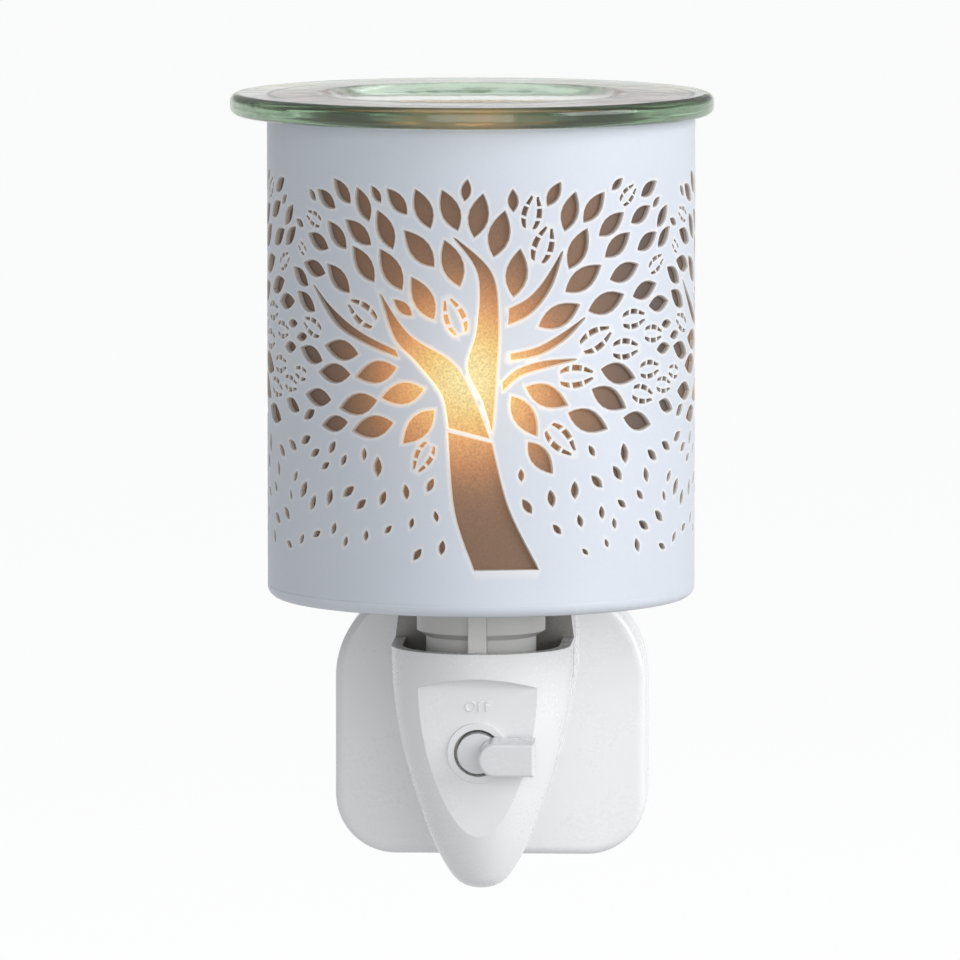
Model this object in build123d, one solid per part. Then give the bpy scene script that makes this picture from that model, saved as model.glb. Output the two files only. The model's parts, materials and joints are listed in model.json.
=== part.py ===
from build123d import *
import math
import os

os.makedirs("parts", exist_ok=True)

# Sizes in millimetres and angles in degrees. X runs right, Y into the wall and Z up, and the
# origin is the middle of the plug's flat back face, where it meets the wall socket.

# Wall plate and pin base
PLATE_W = 55.6
PLATE_H = 48.6
PLATE_D = 13.0
PLATE_TOP_R = 16.9
PLATE_FOOT_R = 10.7
PLATE_EDGE_R = 1.5
PLATE_WALL = 2.0
BASE_T = 3.5
WINDOW_W = 16.0
WINDOW_H = 21.0

# Plug pins, to the three-pin 13 A standard
PIN_W = 6.35
PIN_T = 3.97
PIN_LEN = 17.7
PIN_SPACING = 22.2
PIN_LINE_DROP = 12.1
SLEEVE_LEN = 9.4
SLEEVE_T = 0.5
EARTH_W = 3.97
EARTH_H = 7.95
EARTH_LEN = 22.7
EARTH_RISE = 22.23
PIN_TIP_BEVEL = 0.8
TAG_W = 3.0
TAG_T = 1.2
TAG_LEN = 4.4

# Bullet-shaped front housing and its neck
LAMP_OUT = 44.0
BULLET_R = 15.8
BULLET_DEPTH = 43.0
BULLET_WALL = 2.0
RIM_RISE = 17.0
SHELF_DROP = 3.0
SHELF_T = 4.0
NECK_RISE = 7.2
NECK_OUT = 19.0
NECK_DRAFT = 0.9
NECK_EDGE_R = 1.2

# Switch panel, knob and switch
PANEL_SET = 10.5
PANEL_TILT = 5.0
PANEL_TOP = 13.9
PANEL_ARCH = 5.6
PANEL_FOOT = 22.0
KNOB_DROP = 0.9
KNOB_HOLE_R = 4.2
RING_W = 1.2
RING_H = 0.4
KNOB_R = 3.6
KNOB_PROUD = 0.8
LEVER_LEN = 10.2
LEVER_H = 6.0
LEVER_PROUD = 6.5
SPINDLE_W = 3.0
SPINDLE_LEN = 3.6
CASE_W = 13.0
CASE_H = 8.4
CASE_D = 7.5
CASE_BACK = 1.5
ROTOR_R = 3.35
ROTOR_LEN = 4.2
BRIDGE_W = 1.6
BRIDGE_T = 0.8
LEAF_T = 0.5
LEAF_W = 2.0
TAIL_LEN = 4.0
HOOK_T = 1.2

# Lampholder for a small screw bulb
HOLDER_R = 9.7
HOLDER_FLANGE_R = 11.3
HOLDER_FLANGE_H = 6.0
HOLDER_TAIL_R = 8.3
HOLDER_FOOT = 5.2
HOLDER_FLOOR = 2.2
CHAMBER_R = 5.5
CHAMBER_H = 3.0
STUB_R = 9.4
STUB_H = 7.4
RIB_W = 3.2
RIB_PROUD = 3.8
CLIP_T = 1.2
CLIP_DEEP = 0.8
CLIP_OUT = 1.9
SHELL_TAIL_TURN = 45.0
SHELL_T = 0.35
CONTACT_T = 0.4
CONTACT_W = 2.4
CONTACT_TAIL = 3.0

# Shade can
CAN_GAP = 8.8
CAN_R = 37.5
CAN_T = 0.8
CAN_H = 84.7
FLOOR_T = 1.0
FLOOR_CORNER_R = 2.0
FLOOR_FLANGE_H = 4.0
LINER_T = 0.4
LINER_DROP = 1.2
SHADE_RING_R = 13.4
SHADE_RING_H = 5.2
RING_NOTCHES = 12
RING_NOTCH_R = 1.3

# Glass dish
DISH_R = 42.4
DISH_T = 3.8
DISH_EDGE_R = 1.5
BOWL_MOUTH_R = 25.6
BOWL_DEPTH = 9.0
BOWL_BEND_R = 5.0
DISH_SHIFT = -1.6

# Screw bulb
BULB_R = 22.5
BULB_RISE = 36.5
BULB_WALL = 0.7
BULB_NECK_R = 6.35
BULB_NECK_BEND = 10.0
CAP_R = 6.95
CAP_H = 17.0
THREAD_DEEP = 0.3
THREAD_PITCH = 2.82
INSULATOR_H = 2.4
TIP_R = 2.4
TIP_H = 1.1
STEM_R = 2.6
STEM_TOP_R = 1.5
FILAMENT_LEN = 14.0
FILAMENT_R = 0.45
SUPPORT_R = 0.3

# Screws and wires
SCREW_R = 1.45
SCREW_HEAD_R = 2.7
SCREW_HEAD_H = 1.7
SCREW_LEN = 20.0
BOSS_R = 3.0
BOSS_LEN = 10.0
BOSS_RIB_T = 1.6
TOP_SCREW_X = 10.8
TOP_SCREW_RISE = 17.5
FOOT_SCREW_DROP = 18.6
LEAD_R = 0.9

# Fits
SLIDE_GAP = 0.2
TURN_GAP = 0.3
SEAT_GAP = 0.05

# Tree pattern, drawn on the unrolled wall: u runs round the can from the tree's middle and v runs
# up from the can's foot.
TREES = 3
FIRST_TREE_U = 2.0
WEB = 0.75
CROWN_U = 1.3
CROWN_V = 42.7
FAN_FROM = -72.0
FAN_TO = 252.0
FAN_LOW = 26.0
FAN_HIGH = 74.0
FAN_RINGS = 6
FAN_FIRST = 9.0
FAN_STEP = 6.4
LEAF_PITCH = 6.6
LEAF_LONG = 8.8
LEAF_SHORT = 6.0
LEAF_SLIM = 0.44
FRINGE_LOW = 12.0
FRINGE_HIGH = 34.0
FRINGE_LONG = 4.6
FRINGE_SHORT = 2.6
FRINGE_LEAVES = 16

# Places worked out from the sizes above
AXIS_Y = -LAMP_OUT
PLATE_FRONT = -PLATE_D
RIM_Z = RIM_RISE
SHELF_TOP = RIM_Z - SHELF_DROP
SHELF_UNDER = SHELF_TOP - SHELF_T
HOLDER_BOTTOM = SHELF_UNDER - HOLDER_FOOT
CAN_Z = RIM_Z + CAN_GAP
CAN_TOP = CAN_Z + CAN_H
WALL_FOOT = CAN_Z + FLOOR_CORNER_R + 0.2
STUB_TOP = CAN_Z + STUB_H
CHAMBER_FLOOR = HOLDER_BOTTOM + HOLDER_FLOOR
BORE_FLOOR = CHAMBER_FLOOR + CHAMBER_H
SHELL_IN_R = CAP_R + TURN_GAP
SHELL_OUT_R = SHELL_IN_R + SHELL_T
BORE_R = SHELL_OUT_R + SEAT_GAP
BULB_TIP_Z = CHAMBER_FLOOR + 2.8
CAP_Z = BULB_TIP_Z + TIP_H + INSULATOR_H
BULB_Z = CAN_Z + BULB_RISE
BULB_NECK_FOOT = CAP_Z + CAP_H - 4.5
STEM_FOOT = BULB_NECK_FOOT
STEM_TOP = BULB_Z - 0.55 * BULB_R
PIN_X = PIN_SPACING / 2
PIN_Z = -PIN_LINE_DROP
EARTH_Z = PIN_Z + EARTH_RISE
TREE_PITCH = 2 * math.pi * CAN_R / TREES
FRONT = (Align.CENTER, Align.CENTER, Align.MIN)
PANEL_TURN = math.radians(PANEL_TILT)
PANEL = Plane(
    origin=(0, AXIS_Y - PANEL_SET, -KNOB_DROP),
    x_dir=(1, 0, 0),
    z_dir=(0, -math.cos(PANEL_TURN), -math.sin(PANEL_TURN)),
)


def polygon(points):
    """A flat face with straight sides."""
    return make_face(Polyline(*points, close=True))


def turned(face):
    """A solid turned about the lamp's axis from a profile of (radius, height)."""
    return Pos(0, AXIS_Y, 0) * revolve(Plane.XZ * face, Axis.Z)


def ring(outer, inner, low, high):
    """A plain ring about the lamp's axis between two heights."""
    return Pos(0, AXIS_Y, low) * extrude(Circle(outer) - Circle(inner), high - low)


def block(x0, x1, y0, y1, z0, z1):
    """A box between two corners."""
    size = Box(x1 - x0, y1 - y0, z1 - z0, align=Align.MIN)
    return Pos(x0, y0, z0) * size


def rod_along_y(radius, x, z, y0, y1):
    """A round rod that runs from y0 to y1."""
    disc = Plane.XZ * (Pos(x, z) * Circle(radius))
    return Pos(0, y1, 0) * extrude(disc, y1 - y0)


def wire(points):
    """A lead along straight runs with mitred turns."""
    path = Polyline(*points)
    return sweep((path ^ 0) * Circle(LEAD_R), path, transition=Transition.RIGHT)


def in_panel(shape):
    """Moves a shape drawn about the knob's axis to its place on the switch panel."""
    return PANEL.location * shape


# Tree pattern

def limb_outlines():
    """The trunk and limbs: two sides each, from base to tip."""
    trunk = (
        ((-1.2, 8.4), (-4.6, 18.5), (-5.8, 32.2)),
        ((10.0, 8.4), (4.7, 19.0), (1.8, 30.3)),
    )
    left_limb = (
        ((-5.7, 33.0), (-6.9, 38.7), (-11.4, 44.2), (-15.6, 48.4), (-18.2, 56.0)),
        ((1.4, 31.2), (-1.1, 37.6), (-5.0, 44.2), (-12.8, 49.0), (-18.2, 56.0)),
    )
    leader = (
        ((1.9, 32.4), (0.3, 37.6), (-2.3, 43.4), (-0.7, 50.0), (-0.5, 59.5), (-4.8, 66.0)),
        ((1.9, 32.4), (2.3, 37.6), (2.7, 43.4), (3.0, 51.5), (1.7, 59.9), (-4.8, 66.0)),
    )
    left_branch = (
        ((-14.6, 44.9), (-22.3, 47.6), (-28.0, 50.6), (-33.3, 56.8)),
        ((-15.3, 46.2), (-22.6, 49.2), (-28.6, 52.9), (-33.3, 56.8)),
    )
    right_branch = (
        ((4.7, 50.8), (8.8, 52.9), (12.3, 57.3), (14.5, 63.5)),
        ((4.9, 53.6), (8.2, 55.3), (11.1, 58.3), (14.5, 63.5)),
    )
    right_twig = (
        ((5.2, 44.7), (10.2, 45.6), (15.0, 48.2), (18.8, 51.8)),
        ((5.1, 45.8), (9.8, 46.8), (14.2, 49.0), (18.8, 51.8)),
    )
    low_twig = (
        ((3.8, 39.4), (6.7, 41.9), (11.2, 43.3), (17.2, 44.6)),
        ((3.7, 40.9), (6.4, 43.1), (11.0, 44.4), (17.2, 44.6)),
    )
    return (trunk, left_limb, leader, left_branch, right_branch, right_twig, low_twig)


def limb_discs(sides):
    """Discs that stand for a limb when leaves are kept clear of it."""
    discs = []
    left, right = sides
    steps = 6
    for (a, b), (c, d) in zip(zip(left, left[1:]), zip(right, right[1:])):
        for k in range(steps + 1):
            t = k / steps
            lu, lv = a[0] + (b[0] - a[0]) * t, a[1] + (b[1] - a[1]) * t
            ru, rv = c[0] + (d[0] - c[0]) * t, c[1] + (d[1] - c[1]) * t
            discs.append(((lu + ru) / 2, (lv + rv) / 2, math.hypot(lu - ru, lv - rv) / 2))
    return discs


def leaf_discs(u, v, turn, length):
    """Discs that stand for a leaf when its neighbours are kept clear of it."""
    width = LEAF_SLIM * length
    cos, sin = math.cos(math.radians(turn)), math.sin(math.radians(turn))
    spots = ((0.0, 0.5), (0.25, 0.37), (-0.25, 0.37), (0.42, 0.13), (-0.42, 0.13))
    return [(u + s * length * cos, v + s * length * sin, r * width) for s, r in spots]


def is_clear(discs, placed):
    """Whether discs keep a web of steel to everything placed, round the can too."""
    for u, v, r in discs:
        for pu, pv, pr in placed:
            du = (u - pu + TREE_PITCH / 2) % TREE_PITCH - TREE_PITCH / 2
            if math.hypot(du, v - pv) < r + pr + WEB:
                return False
    return True


def leaf_places():
    """Places of all leaves of one tree as (u, v, turn, length): crown rings first, then the fringe."""
    placed = [disc for sides in limb_outlines() for disc in limb_discs(sides)]
    leaves = []

    def offer(u, v, turn, length):
        for share in (1.0, 0.86, 0.72, 0.58):
            discs = leaf_discs(u, v, turn, share * length)
            if is_clear(discs, placed):
                placed.extend(discs)
                leaves.append((u, v, turn, share * length))
                return

    span = FAN_TO - FAN_FROM
    for row in range(FAN_RINGS):
        radius = FAN_FIRST + row * FAN_STEP
        count = round(math.radians(span) * radius / LEAF_PITCH)
        length = LEAF_LONG + (LEAF_SHORT - LEAF_LONG) * row / (FAN_RINGS - 1)
        for k in range(count):
            turn = FAN_FROM + (k + 0.5 * (row % 2)) * span / (count - 0.5)
            u = CROWN_U + radius * math.cos(math.radians(turn))
            v = CROWN_V + radius * math.sin(math.radians(turn))
            if FAN_LOW < v < FAN_HIGH and abs(u) < TREE_PITCH / 2 - 1.5:
                offer(u, v, turn, length)
    golden = (math.sqrt(5) - 1) / 2
    for k in range(FRINGE_LEAVES):
        rise = k / FRINGE_LEAVES
        u = TREE_PITCH * ((k * golden) % 1 - 0.5)
        v = FRINGE_HIGH - (FRINGE_HIGH - FRINGE_LOW) * rise
        turn = 90 + 1.1 * u
        offer(u, v, turn, FRINGE_LONG + (FRINGE_SHORT - FRINGE_LONG) * rise)
    return leaves


def leaf(length):
    """A leaf with four straight sides, widest nearer its stalk."""
    half, side = length / 2, LEAF_SLIM * length / 2
    return polygon(((-half, 0), (-0.15 * half, side), (half, 0), (-0.15 * half, -side)))


def wall_plane(u, v):
    """The plane that touches the can's outside at a place on the unrolled wall."""
    turn = u / CAN_R
    sin, cos = math.sin(turn), math.cos(turn)
    spot = (CAN_R * sin, AXIS_Y - CAN_R * cos, CAN_Z + v)
    return Plane(origin=spot, x_dir=(cos, sin, 0), z_dir=(sin, -cos, 0))


def limb_cutter(sides, shift):
    """A cutter for one limb, drawn on the plane that touches the can at the limb's middle."""
    middle = sum(u for side in sides for u, v in side) / sum(len(side) for side in sides)

    def flat(spot):
        return (CAN_R * math.sin((spot[0] - middle) / CAN_R), spot[1])

    left = [flat(spot) for spot in sides[0]]
    right = [flat(spot) for spot in sides[1]]
    edges = [Spline(*left), Spline(*right)]
    for a, b in ((left[0], right[0]), (left[-1], right[-1])):
        if a != b:
            edges.append(Line(a, b))
    return extrude(wall_plane(middle + shift, 0) * make_face(edges), 4 * CAN_T, both=True)


def leaf_cutter(place, shift):
    """A cutter for one leaf, drawn on the plane that touches the can at the leaf's middle."""
    u, v, turn, length = place
    spot = wall_plane(u + shift, v).location * Rot(0, 0, turn)
    return extrude(spot * leaf(length), 2 * CAN_T, both=True)


# Shade can

def make_shade_wall():
    """The rolled steel wall with three trees cut through it."""
    wall = ring(CAN_R, CAN_R - CAN_T, WALL_FOOT, CAN_TOP)
    leaves = leaf_places()
    cutters = []
    for tree in range(TREES):
        shift = FIRST_TREE_U + tree * TREE_PITCH
        cutters += [limb_cutter(sides, shift) for sides in limb_outlines()]
        cutters += [leaf_cutter(place, shift) for place in leaves]
    return wall - cutters


def make_shade_floor():
    """The pressed floor: a round corner outside and a flange that the wall slips over."""
    hole = STUB_R + SLIDE_GAP
    shoulder = WALL_FOOT - CAN_Z
    slip = CAN_R - CAN_T - SEAT_GAP
    inner = slip - FLOOR_T
    top = shoulder + FLOOR_FLANGE_H
    corner = FLOOR_CORNER_R
    bend = corner * (1 - math.sqrt(0.5))
    outline = [
        Polyline((hole, FLOOR_T), (hole, 0), (CAN_R - corner, 0)),
        ThreePointArc((CAN_R - corner, 0), (CAN_R - bend, bend), (CAN_R, corner)),
        Polyline((CAN_R, corner), (CAN_R, shoulder), (slip, shoulder), (slip, top), (inner, top)),
        Polyline((inner, top), (inner, FLOOR_T + 1.0), (inner - 1.0, FLOOR_T), (hole, FLOOR_T)),
    ]
    return Pos(0, 0, CAN_Z) * turned(make_face(outline))


def make_liner():
    """The rolled amber sheet that springs out against the inside of the wall."""
    outer = CAN_R - CAN_T - 2 * SEAT_GAP
    return ring(outer, outer - LINER_T, WALL_FOOT + FLOOR_FLANGE_H, CAN_TOP - LINER_DROP)


def make_shade_ring():
    """The grip ring that screws down on the lampholder and clamps the shade's floor."""
    low = CAN_Z + FLOOR_T
    body = ring(SHADE_RING_R, STUB_R + SLIDE_GAP, low, low + SHADE_RING_H)
    notches = []
    for k in range(RING_NOTCHES):
        turn = 2 * math.pi * k / RING_NOTCHES
        x = (SHADE_RING_R + 0.5) * math.cos(turn)
        y = AXIS_Y + (SHADE_RING_R + 0.5) * math.sin(turn)
        notches.append(Pos(x, y, low + 1.2) * Cylinder(RING_NOTCH_R, SHADE_RING_H, align=FRONT))
    return body - notches


# Glass dish

def dish_side(radius, bottom_radius, top, depth, bend):
    """One face of the bowl from its flat floor up to the rim, with a bend at each end."""
    run = radius - bottom_radius
    slope = math.atan2(depth, run)
    cut = bend * math.tan(slope / 2)
    cos, sin = math.cos(slope), math.sin(slope)
    floor_end = (bottom_radius - cut, top - depth)
    wall_low = (bottom_radius + cut * cos, top - depth + cut * sin)
    wall_high = (radius - cut * cos, top - cut * sin)
    rim_start = (radius + cut, top)
    return [
        Line((0, top - depth), floor_end),
        TangentArc(floor_end, wall_low, tangent=(1, 0)),
        Line(wall_low, wall_high),
        TangentArc(wall_high, rim_start, tangent=(cos, sin)),
    ], rim_start


def make_dish():
    """A slumped glass dish: a wide flat rim round a shallow bowl."""
    top = CAN_TOP + DISH_T
    wall_run = 1.15 * BOWL_DEPTH
    inner, inner_rim = dish_side(BOWL_MOUTH_R, BOWL_MOUTH_R - wall_run, top, BOWL_DEPTH, BOWL_BEND_R)
    spread = 0.45 * DISH_T
    outer, outer_rim = dish_side(
        BOWL_MOUTH_R + spread, BOWL_MOUTH_R - wall_run + spread, CAN_TOP, BOWL_DEPTH, BOWL_BEND_R
    )
    edge = DISH_R - DISH_EDGE_R
    bulge = DISH_R - DISH_EDGE_R * (1 - math.sqrt(0.5))
    low_mid = CAN_TOP + DISH_EDGE_R * (1 - math.sqrt(0.5))
    high_mid = top - DISH_EDGE_R * (1 - math.sqrt(0.5))
    lip = [
        Line(inner_rim, (edge, top)),
        ThreePointArc((edge, top), (bulge, high_mid), (DISH_R, top - DISH_EDGE_R)),
        Line((DISH_R, top - DISH_EDGE_R), (DISH_R, CAN_TOP + DISH_EDGE_R)),
        ThreePointArc((DISH_R, CAN_TOP + DISH_EDGE_R), (bulge, low_mid), (edge, CAN_TOP)),
        Line((edge, CAN_TOP), outer_rim),
    ]
    axis = Line((0, top - BOWL_DEPTH), (0, CAN_TOP - BOWL_DEPTH))
    return Pos(DISH_SHIFT, 0, 0) * turned(make_face(inner + lip + outer + [axis]))


# Screw bulb

def globe_profile(wall):
    """Half the outline of the glass, set in by a wall thickness: neck, bend and globe."""
    neck = BULB_NECK_R - wall
    bend = BULB_NECK_BEND + wall
    globe = BULB_R - wall
    bend_x = neck + bend
    drop = math.sqrt((globe + bend) ** 2 - bend_x ** 2)
    share = globe / (globe + bend)
    start = (neck, BULB_Z - drop)
    meet = (bend_x * share, BULB_Z - drop * share)
    widest = (globe, BULB_Z)
    top = (0, BULB_Z + globe)
    return [
        Line((neck, BULB_NECK_FOOT), start),
        TangentArc(start, meet, tangent=(0, 1)),
        ThreePointArc(meet, widest, top),
    ]


def make_bulb_glass():
    """The clear globe with its neck, hollow and open at the foot."""
    outside = globe_profile(0)
    inside = globe_profile(BULB_WALL)
    foot = Line((BULB_NECK_R - BULB_WALL, BULB_NECK_FOOT), (BULB_NECK_R, BULB_NECK_FOOT))
    crown = Line((0, BULB_Z + BULB_R), (0, BULB_Z + BULB_R - BULB_WALL))
    return turned(make_face(outside + inside + [foot, crown]))


def make_bulb_cap():
    """The metal screw cap, with its rounded thread as rings."""
    root = CAP_R - THREAD_DEEP
    inner = BULB_NECK_R + SEAT_GAP
    points = [(inner, CAP_Z), (root, CAP_Z)]
    turns = int((CAP_H - 3.0) / THREAD_PITCH)
    for k in range(turns):
        low = CAP_Z + 0.8 + k * THREAD_PITCH
        points += [(root, low), (CAP_R, low + THREAD_PITCH / 2)]
    points += [(root, CAP_Z + 0.8 + turns * THREAD_PITCH)]
    points += [(root, CAP_Z + CAP_H), (inner, CAP_Z + CAP_H)]
    return turned(polygon(points))


def make_bulb_insulator():
    """The black glass bead that closes the cap's foot and carries the tip contact."""
    plug = BULB_NECK_R
    low = CAP_Z - INSULATOR_H
    points = [(0, low), (TIP_R + 0.3, low), (plug, CAP_Z), (plug, CAP_Z + 1.6), (0, CAP_Z + 1.6)]
    return turned(polygon(points))


def make_bulb_tip():
    """The solder contact under the bulb."""
    low = BULB_TIP_Z
    points = [(0, low), (TIP_R - 0.6, low), (TIP_R, low + 0.5), (TIP_R, low + TIP_H), (0, low + TIP_H)]
    return turned(polygon(points))


def make_bulb_stem():
    """The glass mount inside the neck."""
    flare = BULB_NECK_R - BULB_WALL - SEAT_GAP
    points = [
        (0, STEM_FOOT),
        (flare, STEM_FOOT),
        (flare, STEM_FOOT + 1.2),
        (STEM_R, STEM_FOOT + 4.5),
        (STEM_TOP_R, STEM_TOP),
        (0, STEM_TOP),
    ]
    return turned(polygon(points))


def make_bulb_leads():
    """The two support wires that carry the filament."""
    high = BULB_Z - FILAMENT_R - SEAT_GAP
    out = FILAMENT_LEN / 2 - FILAMENT_R
    near = STEM_TOP_R - 2 * SUPPORT_R
    wires = []
    for way in (1, -1):
        foot = Vector(way * near, AXIS_Y, STEM_TOP)
        run = Vector(way * out, AXIS_Y, high - SUPPORT_R) - foot
        disc = Plane(origin=foot, z_dir=(0, 0, 1)) * Circle(SUPPORT_R)
        wires.append(extrude(disc, dir=run, amount=run.length))
    return Compound(children=wires)


def make_filament():
    """The coiled filament as one fine rod."""
    half = FILAMENT_LEN / 2
    rod = Rot(0, 90, 0) * Cylinder(FILAMENT_R, 2 * half)
    return Pos(0, AXIS_Y, BULB_Z) * rod


# Lampholder

def make_holder():
    """The moulded lampholder: body, seat flange, threaded stub, front and back ribs, chamber."""
    bottom = HOLDER_BOTTOM
    groove_top = SHELF_UNDER - SEAT_GAP
    groove_low = groove_top - CLIP_T - 2 * SEAT_GAP
    groove_r = HOLDER_TAIL_R - CLIP_DEEP
    seat = CAN_Z - HOLDER_FLANGE_H
    profile = [
        (0, bottom),
        (HOLDER_TAIL_R - 0.8, bottom),
        (HOLDER_TAIL_R, bottom + 0.8),
        (HOLDER_TAIL_R, groove_low),
        (groove_r, groove_low),
        (groove_r, groove_top),
        (HOLDER_TAIL_R, groove_top),
        (HOLDER_TAIL_R, SHELF_TOP),
        (HOLDER_R, SHELF_TOP),
        (HOLDER_R, seat - 1.0),
        (HOLDER_FLANGE_R, seat),
        (HOLDER_FLANGE_R, CAN_Z),
        (STUB_R, CAN_Z),
        (STUB_R, STUB_TOP),
        (BORE_R, STUB_TOP),
        (BORE_R, BORE_FLOOR),
        (CHAMBER_R, BORE_FLOOR),
        (CHAMBER_R, CHAMBER_FLOOR),
        (0, CHAMBER_FLOOR),
    ]
    body = turned(polygon(profile))
    reach = HOLDER_R + RIB_PROUD
    half = RIB_W / 2
    body += block(-half, half, AXIS_Y - reach, AXIS_Y - BORE_R - 0.5, SHELF_TOP, CAN_Z)
    rear = HOLDER_R + 1.0
    body += block(-half, half, AXIS_Y + BORE_R + 0.5, AXIS_Y + rear, SHELF_TOP, CAN_Z - HOLDER_FLANGE_H)
    slack = SEAT_GAP
    wide = CONTACT_W / 2 + slack
    out, thick = centre_tail()
    near, far = AXIS_Y + out - slack, AXIS_Y + out + thick + slack
    body -= block(-wide, wide, near, far, bottom - 1, CHAMBER_FLOOR + 1)
    return body - shell_strip(slack, BORE_FLOOR + 1)


def centre_tail():
    """Where the centre contact's tail stands behind the axis, and its thickness."""
    return CHAMBER_R - 1.2, CONTACT_T


def shell_strip(slack, high):
    """The straight strip under the screw shell, turned to the holder's back left side."""
    out = SHELL_IN_R - 0.25
    half = CONTACT_W / 2 + slack
    low = HOLDER_BOTTOM - CONTACT_TAIL
    strip = block(-out - CONTACT_T - slack, -out + slack, -half, half, low, high)
    return Pos(0, AXIS_Y, 0) * Rot(0, 0, -SHELL_TAIL_TURN) * strip


def make_holder_clip():
    """The spring clip that holds the lampholder up against the shelf."""
    high = SHELF_UNDER - SEAT_GAP
    far = 2 * HOLDER_R
    mouth = AXIS_Y - 0.45 * HOLDER_R
    clip = ring(HOLDER_TAIL_R + CLIP_OUT, HOLDER_TAIL_R - CLIP_DEEP + SEAT_GAP, high - CLIP_T, high)
    return clip - block(-far, far, AXIS_Y - far, mouth, high - 2 * CLIP_T, high + CLIP_T)


def make_screw_shell():
    """The brass shell that takes the bulb's thread."""
    return ring(SHELL_OUT_R, SHELL_IN_R, BORE_FLOOR, STUB_TOP - 0.6)


def make_centre_contact():
    """The sprung strip under the bulb's tip, with its tail through the holder's floor."""
    out, thick = centre_tail()
    tail_low = HOLDER_BOTTOM - CONTACT_TAIL
    rise = BULB_TIP_Z - TURN_GAP
    points = [
        (out, tail_low),
        (out + thick, tail_low),
        (out + thick, CHAMBER_FLOOR + 0.9),
        (-1.8, rise),
        (-1.8, rise - thick),
        (out, CHAMBER_FLOOR + 0.5),
    ]
    strip = extrude(Plane.YZ * polygon(points), CONTACT_W / 2, both=True)
    return Pos(0, AXIS_Y, 0) * strip


def make_shell_contact():
    """The strip from the screw shell's foot down through the holder's floor."""
    return shell_strip(0, BORE_FLOOR)


# Front housing

def bullet_half(inset):
    """Half the housing's front outline, from its rim down to the tip."""
    r, d = BULLET_R, BULLET_DEPTH
    side = [(r, 0), (0.924 * r, -0.33 * d), (0.66 * r, -0.69 * d), (0.37 * r, -0.92 * d), (0, -d)]
    points = [(max(x - inset, 0), z) for x, z in side[:-1]] + [(0, inset - d)]
    curve = Spline(*points, tangents=((0, -1), (-1, 0)))
    return make_face([curve, Line((0, inset - d), (0, 0)), Line((0, 0), points[0])])


def bullet(inset, back):
    """The housing's round form shrunk by an inset: turned in front and drawn back to the plate."""
    half = bullet_half(inset)
    nose = revolve(Plane.XZ * half, Axis.Z)
    whole = half + mirror(half, about=Plane.YZ)
    drawn = extrude(Plane.XZ * whole, -(back - AXIS_Y))
    return Pos(0, AXIS_Y, RIM_Z) * (nose + drawn)


def neck_face(inset):
    """The neck's front outline, a little narrower at its top."""
    half, low, high = BULLET_R - inset, -SHELF_DROP - SHELF_T, NECK_RISE - inset
    top = half - NECK_DRAFT
    face = polygon(((-half, low), (half, low), (half, 0), (top, high), (-top, high), (-half, 0)))
    return fillet(face.vertices().group_by(Axis.Y)[-1], NECK_EDGE_R)


def neck(inset, front, back):
    """The block that joins the cup's back to the wall plate."""
    return Pos(0, back, RIM_Z) * extrude(Plane.XZ * neck_face(inset), back - front)


def panel_pocket():
    """What the flat switch panel takes off the round front, with an arched top edge."""
    wide = BULLET_R
    outline = [
        Polyline((-wide, PANEL_TOP - PANEL_ARCH), (-wide, -PANEL_FOOT), (wide, -PANEL_FOOT)),
        Line((wide, -PANEL_FOOT), (wide, PANEL_TOP - PANEL_ARCH)),
        ThreePointArc((wide, PANEL_TOP - PANEL_ARCH), (0, PANEL_TOP), (-wide, PANEL_TOP - PANEL_ARCH)),
    ]
    return in_panel(extrude(make_face(outline), BULLET_R))


def screw_spots():
    """Where the three long screws pass, as (x, z)."""
    return ((TOP_SCREW_X, TOP_SCREW_RISE), (-TOP_SCREW_X, TOP_SCREW_RISE), (0, -FOOT_SCREW_DROP))


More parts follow.
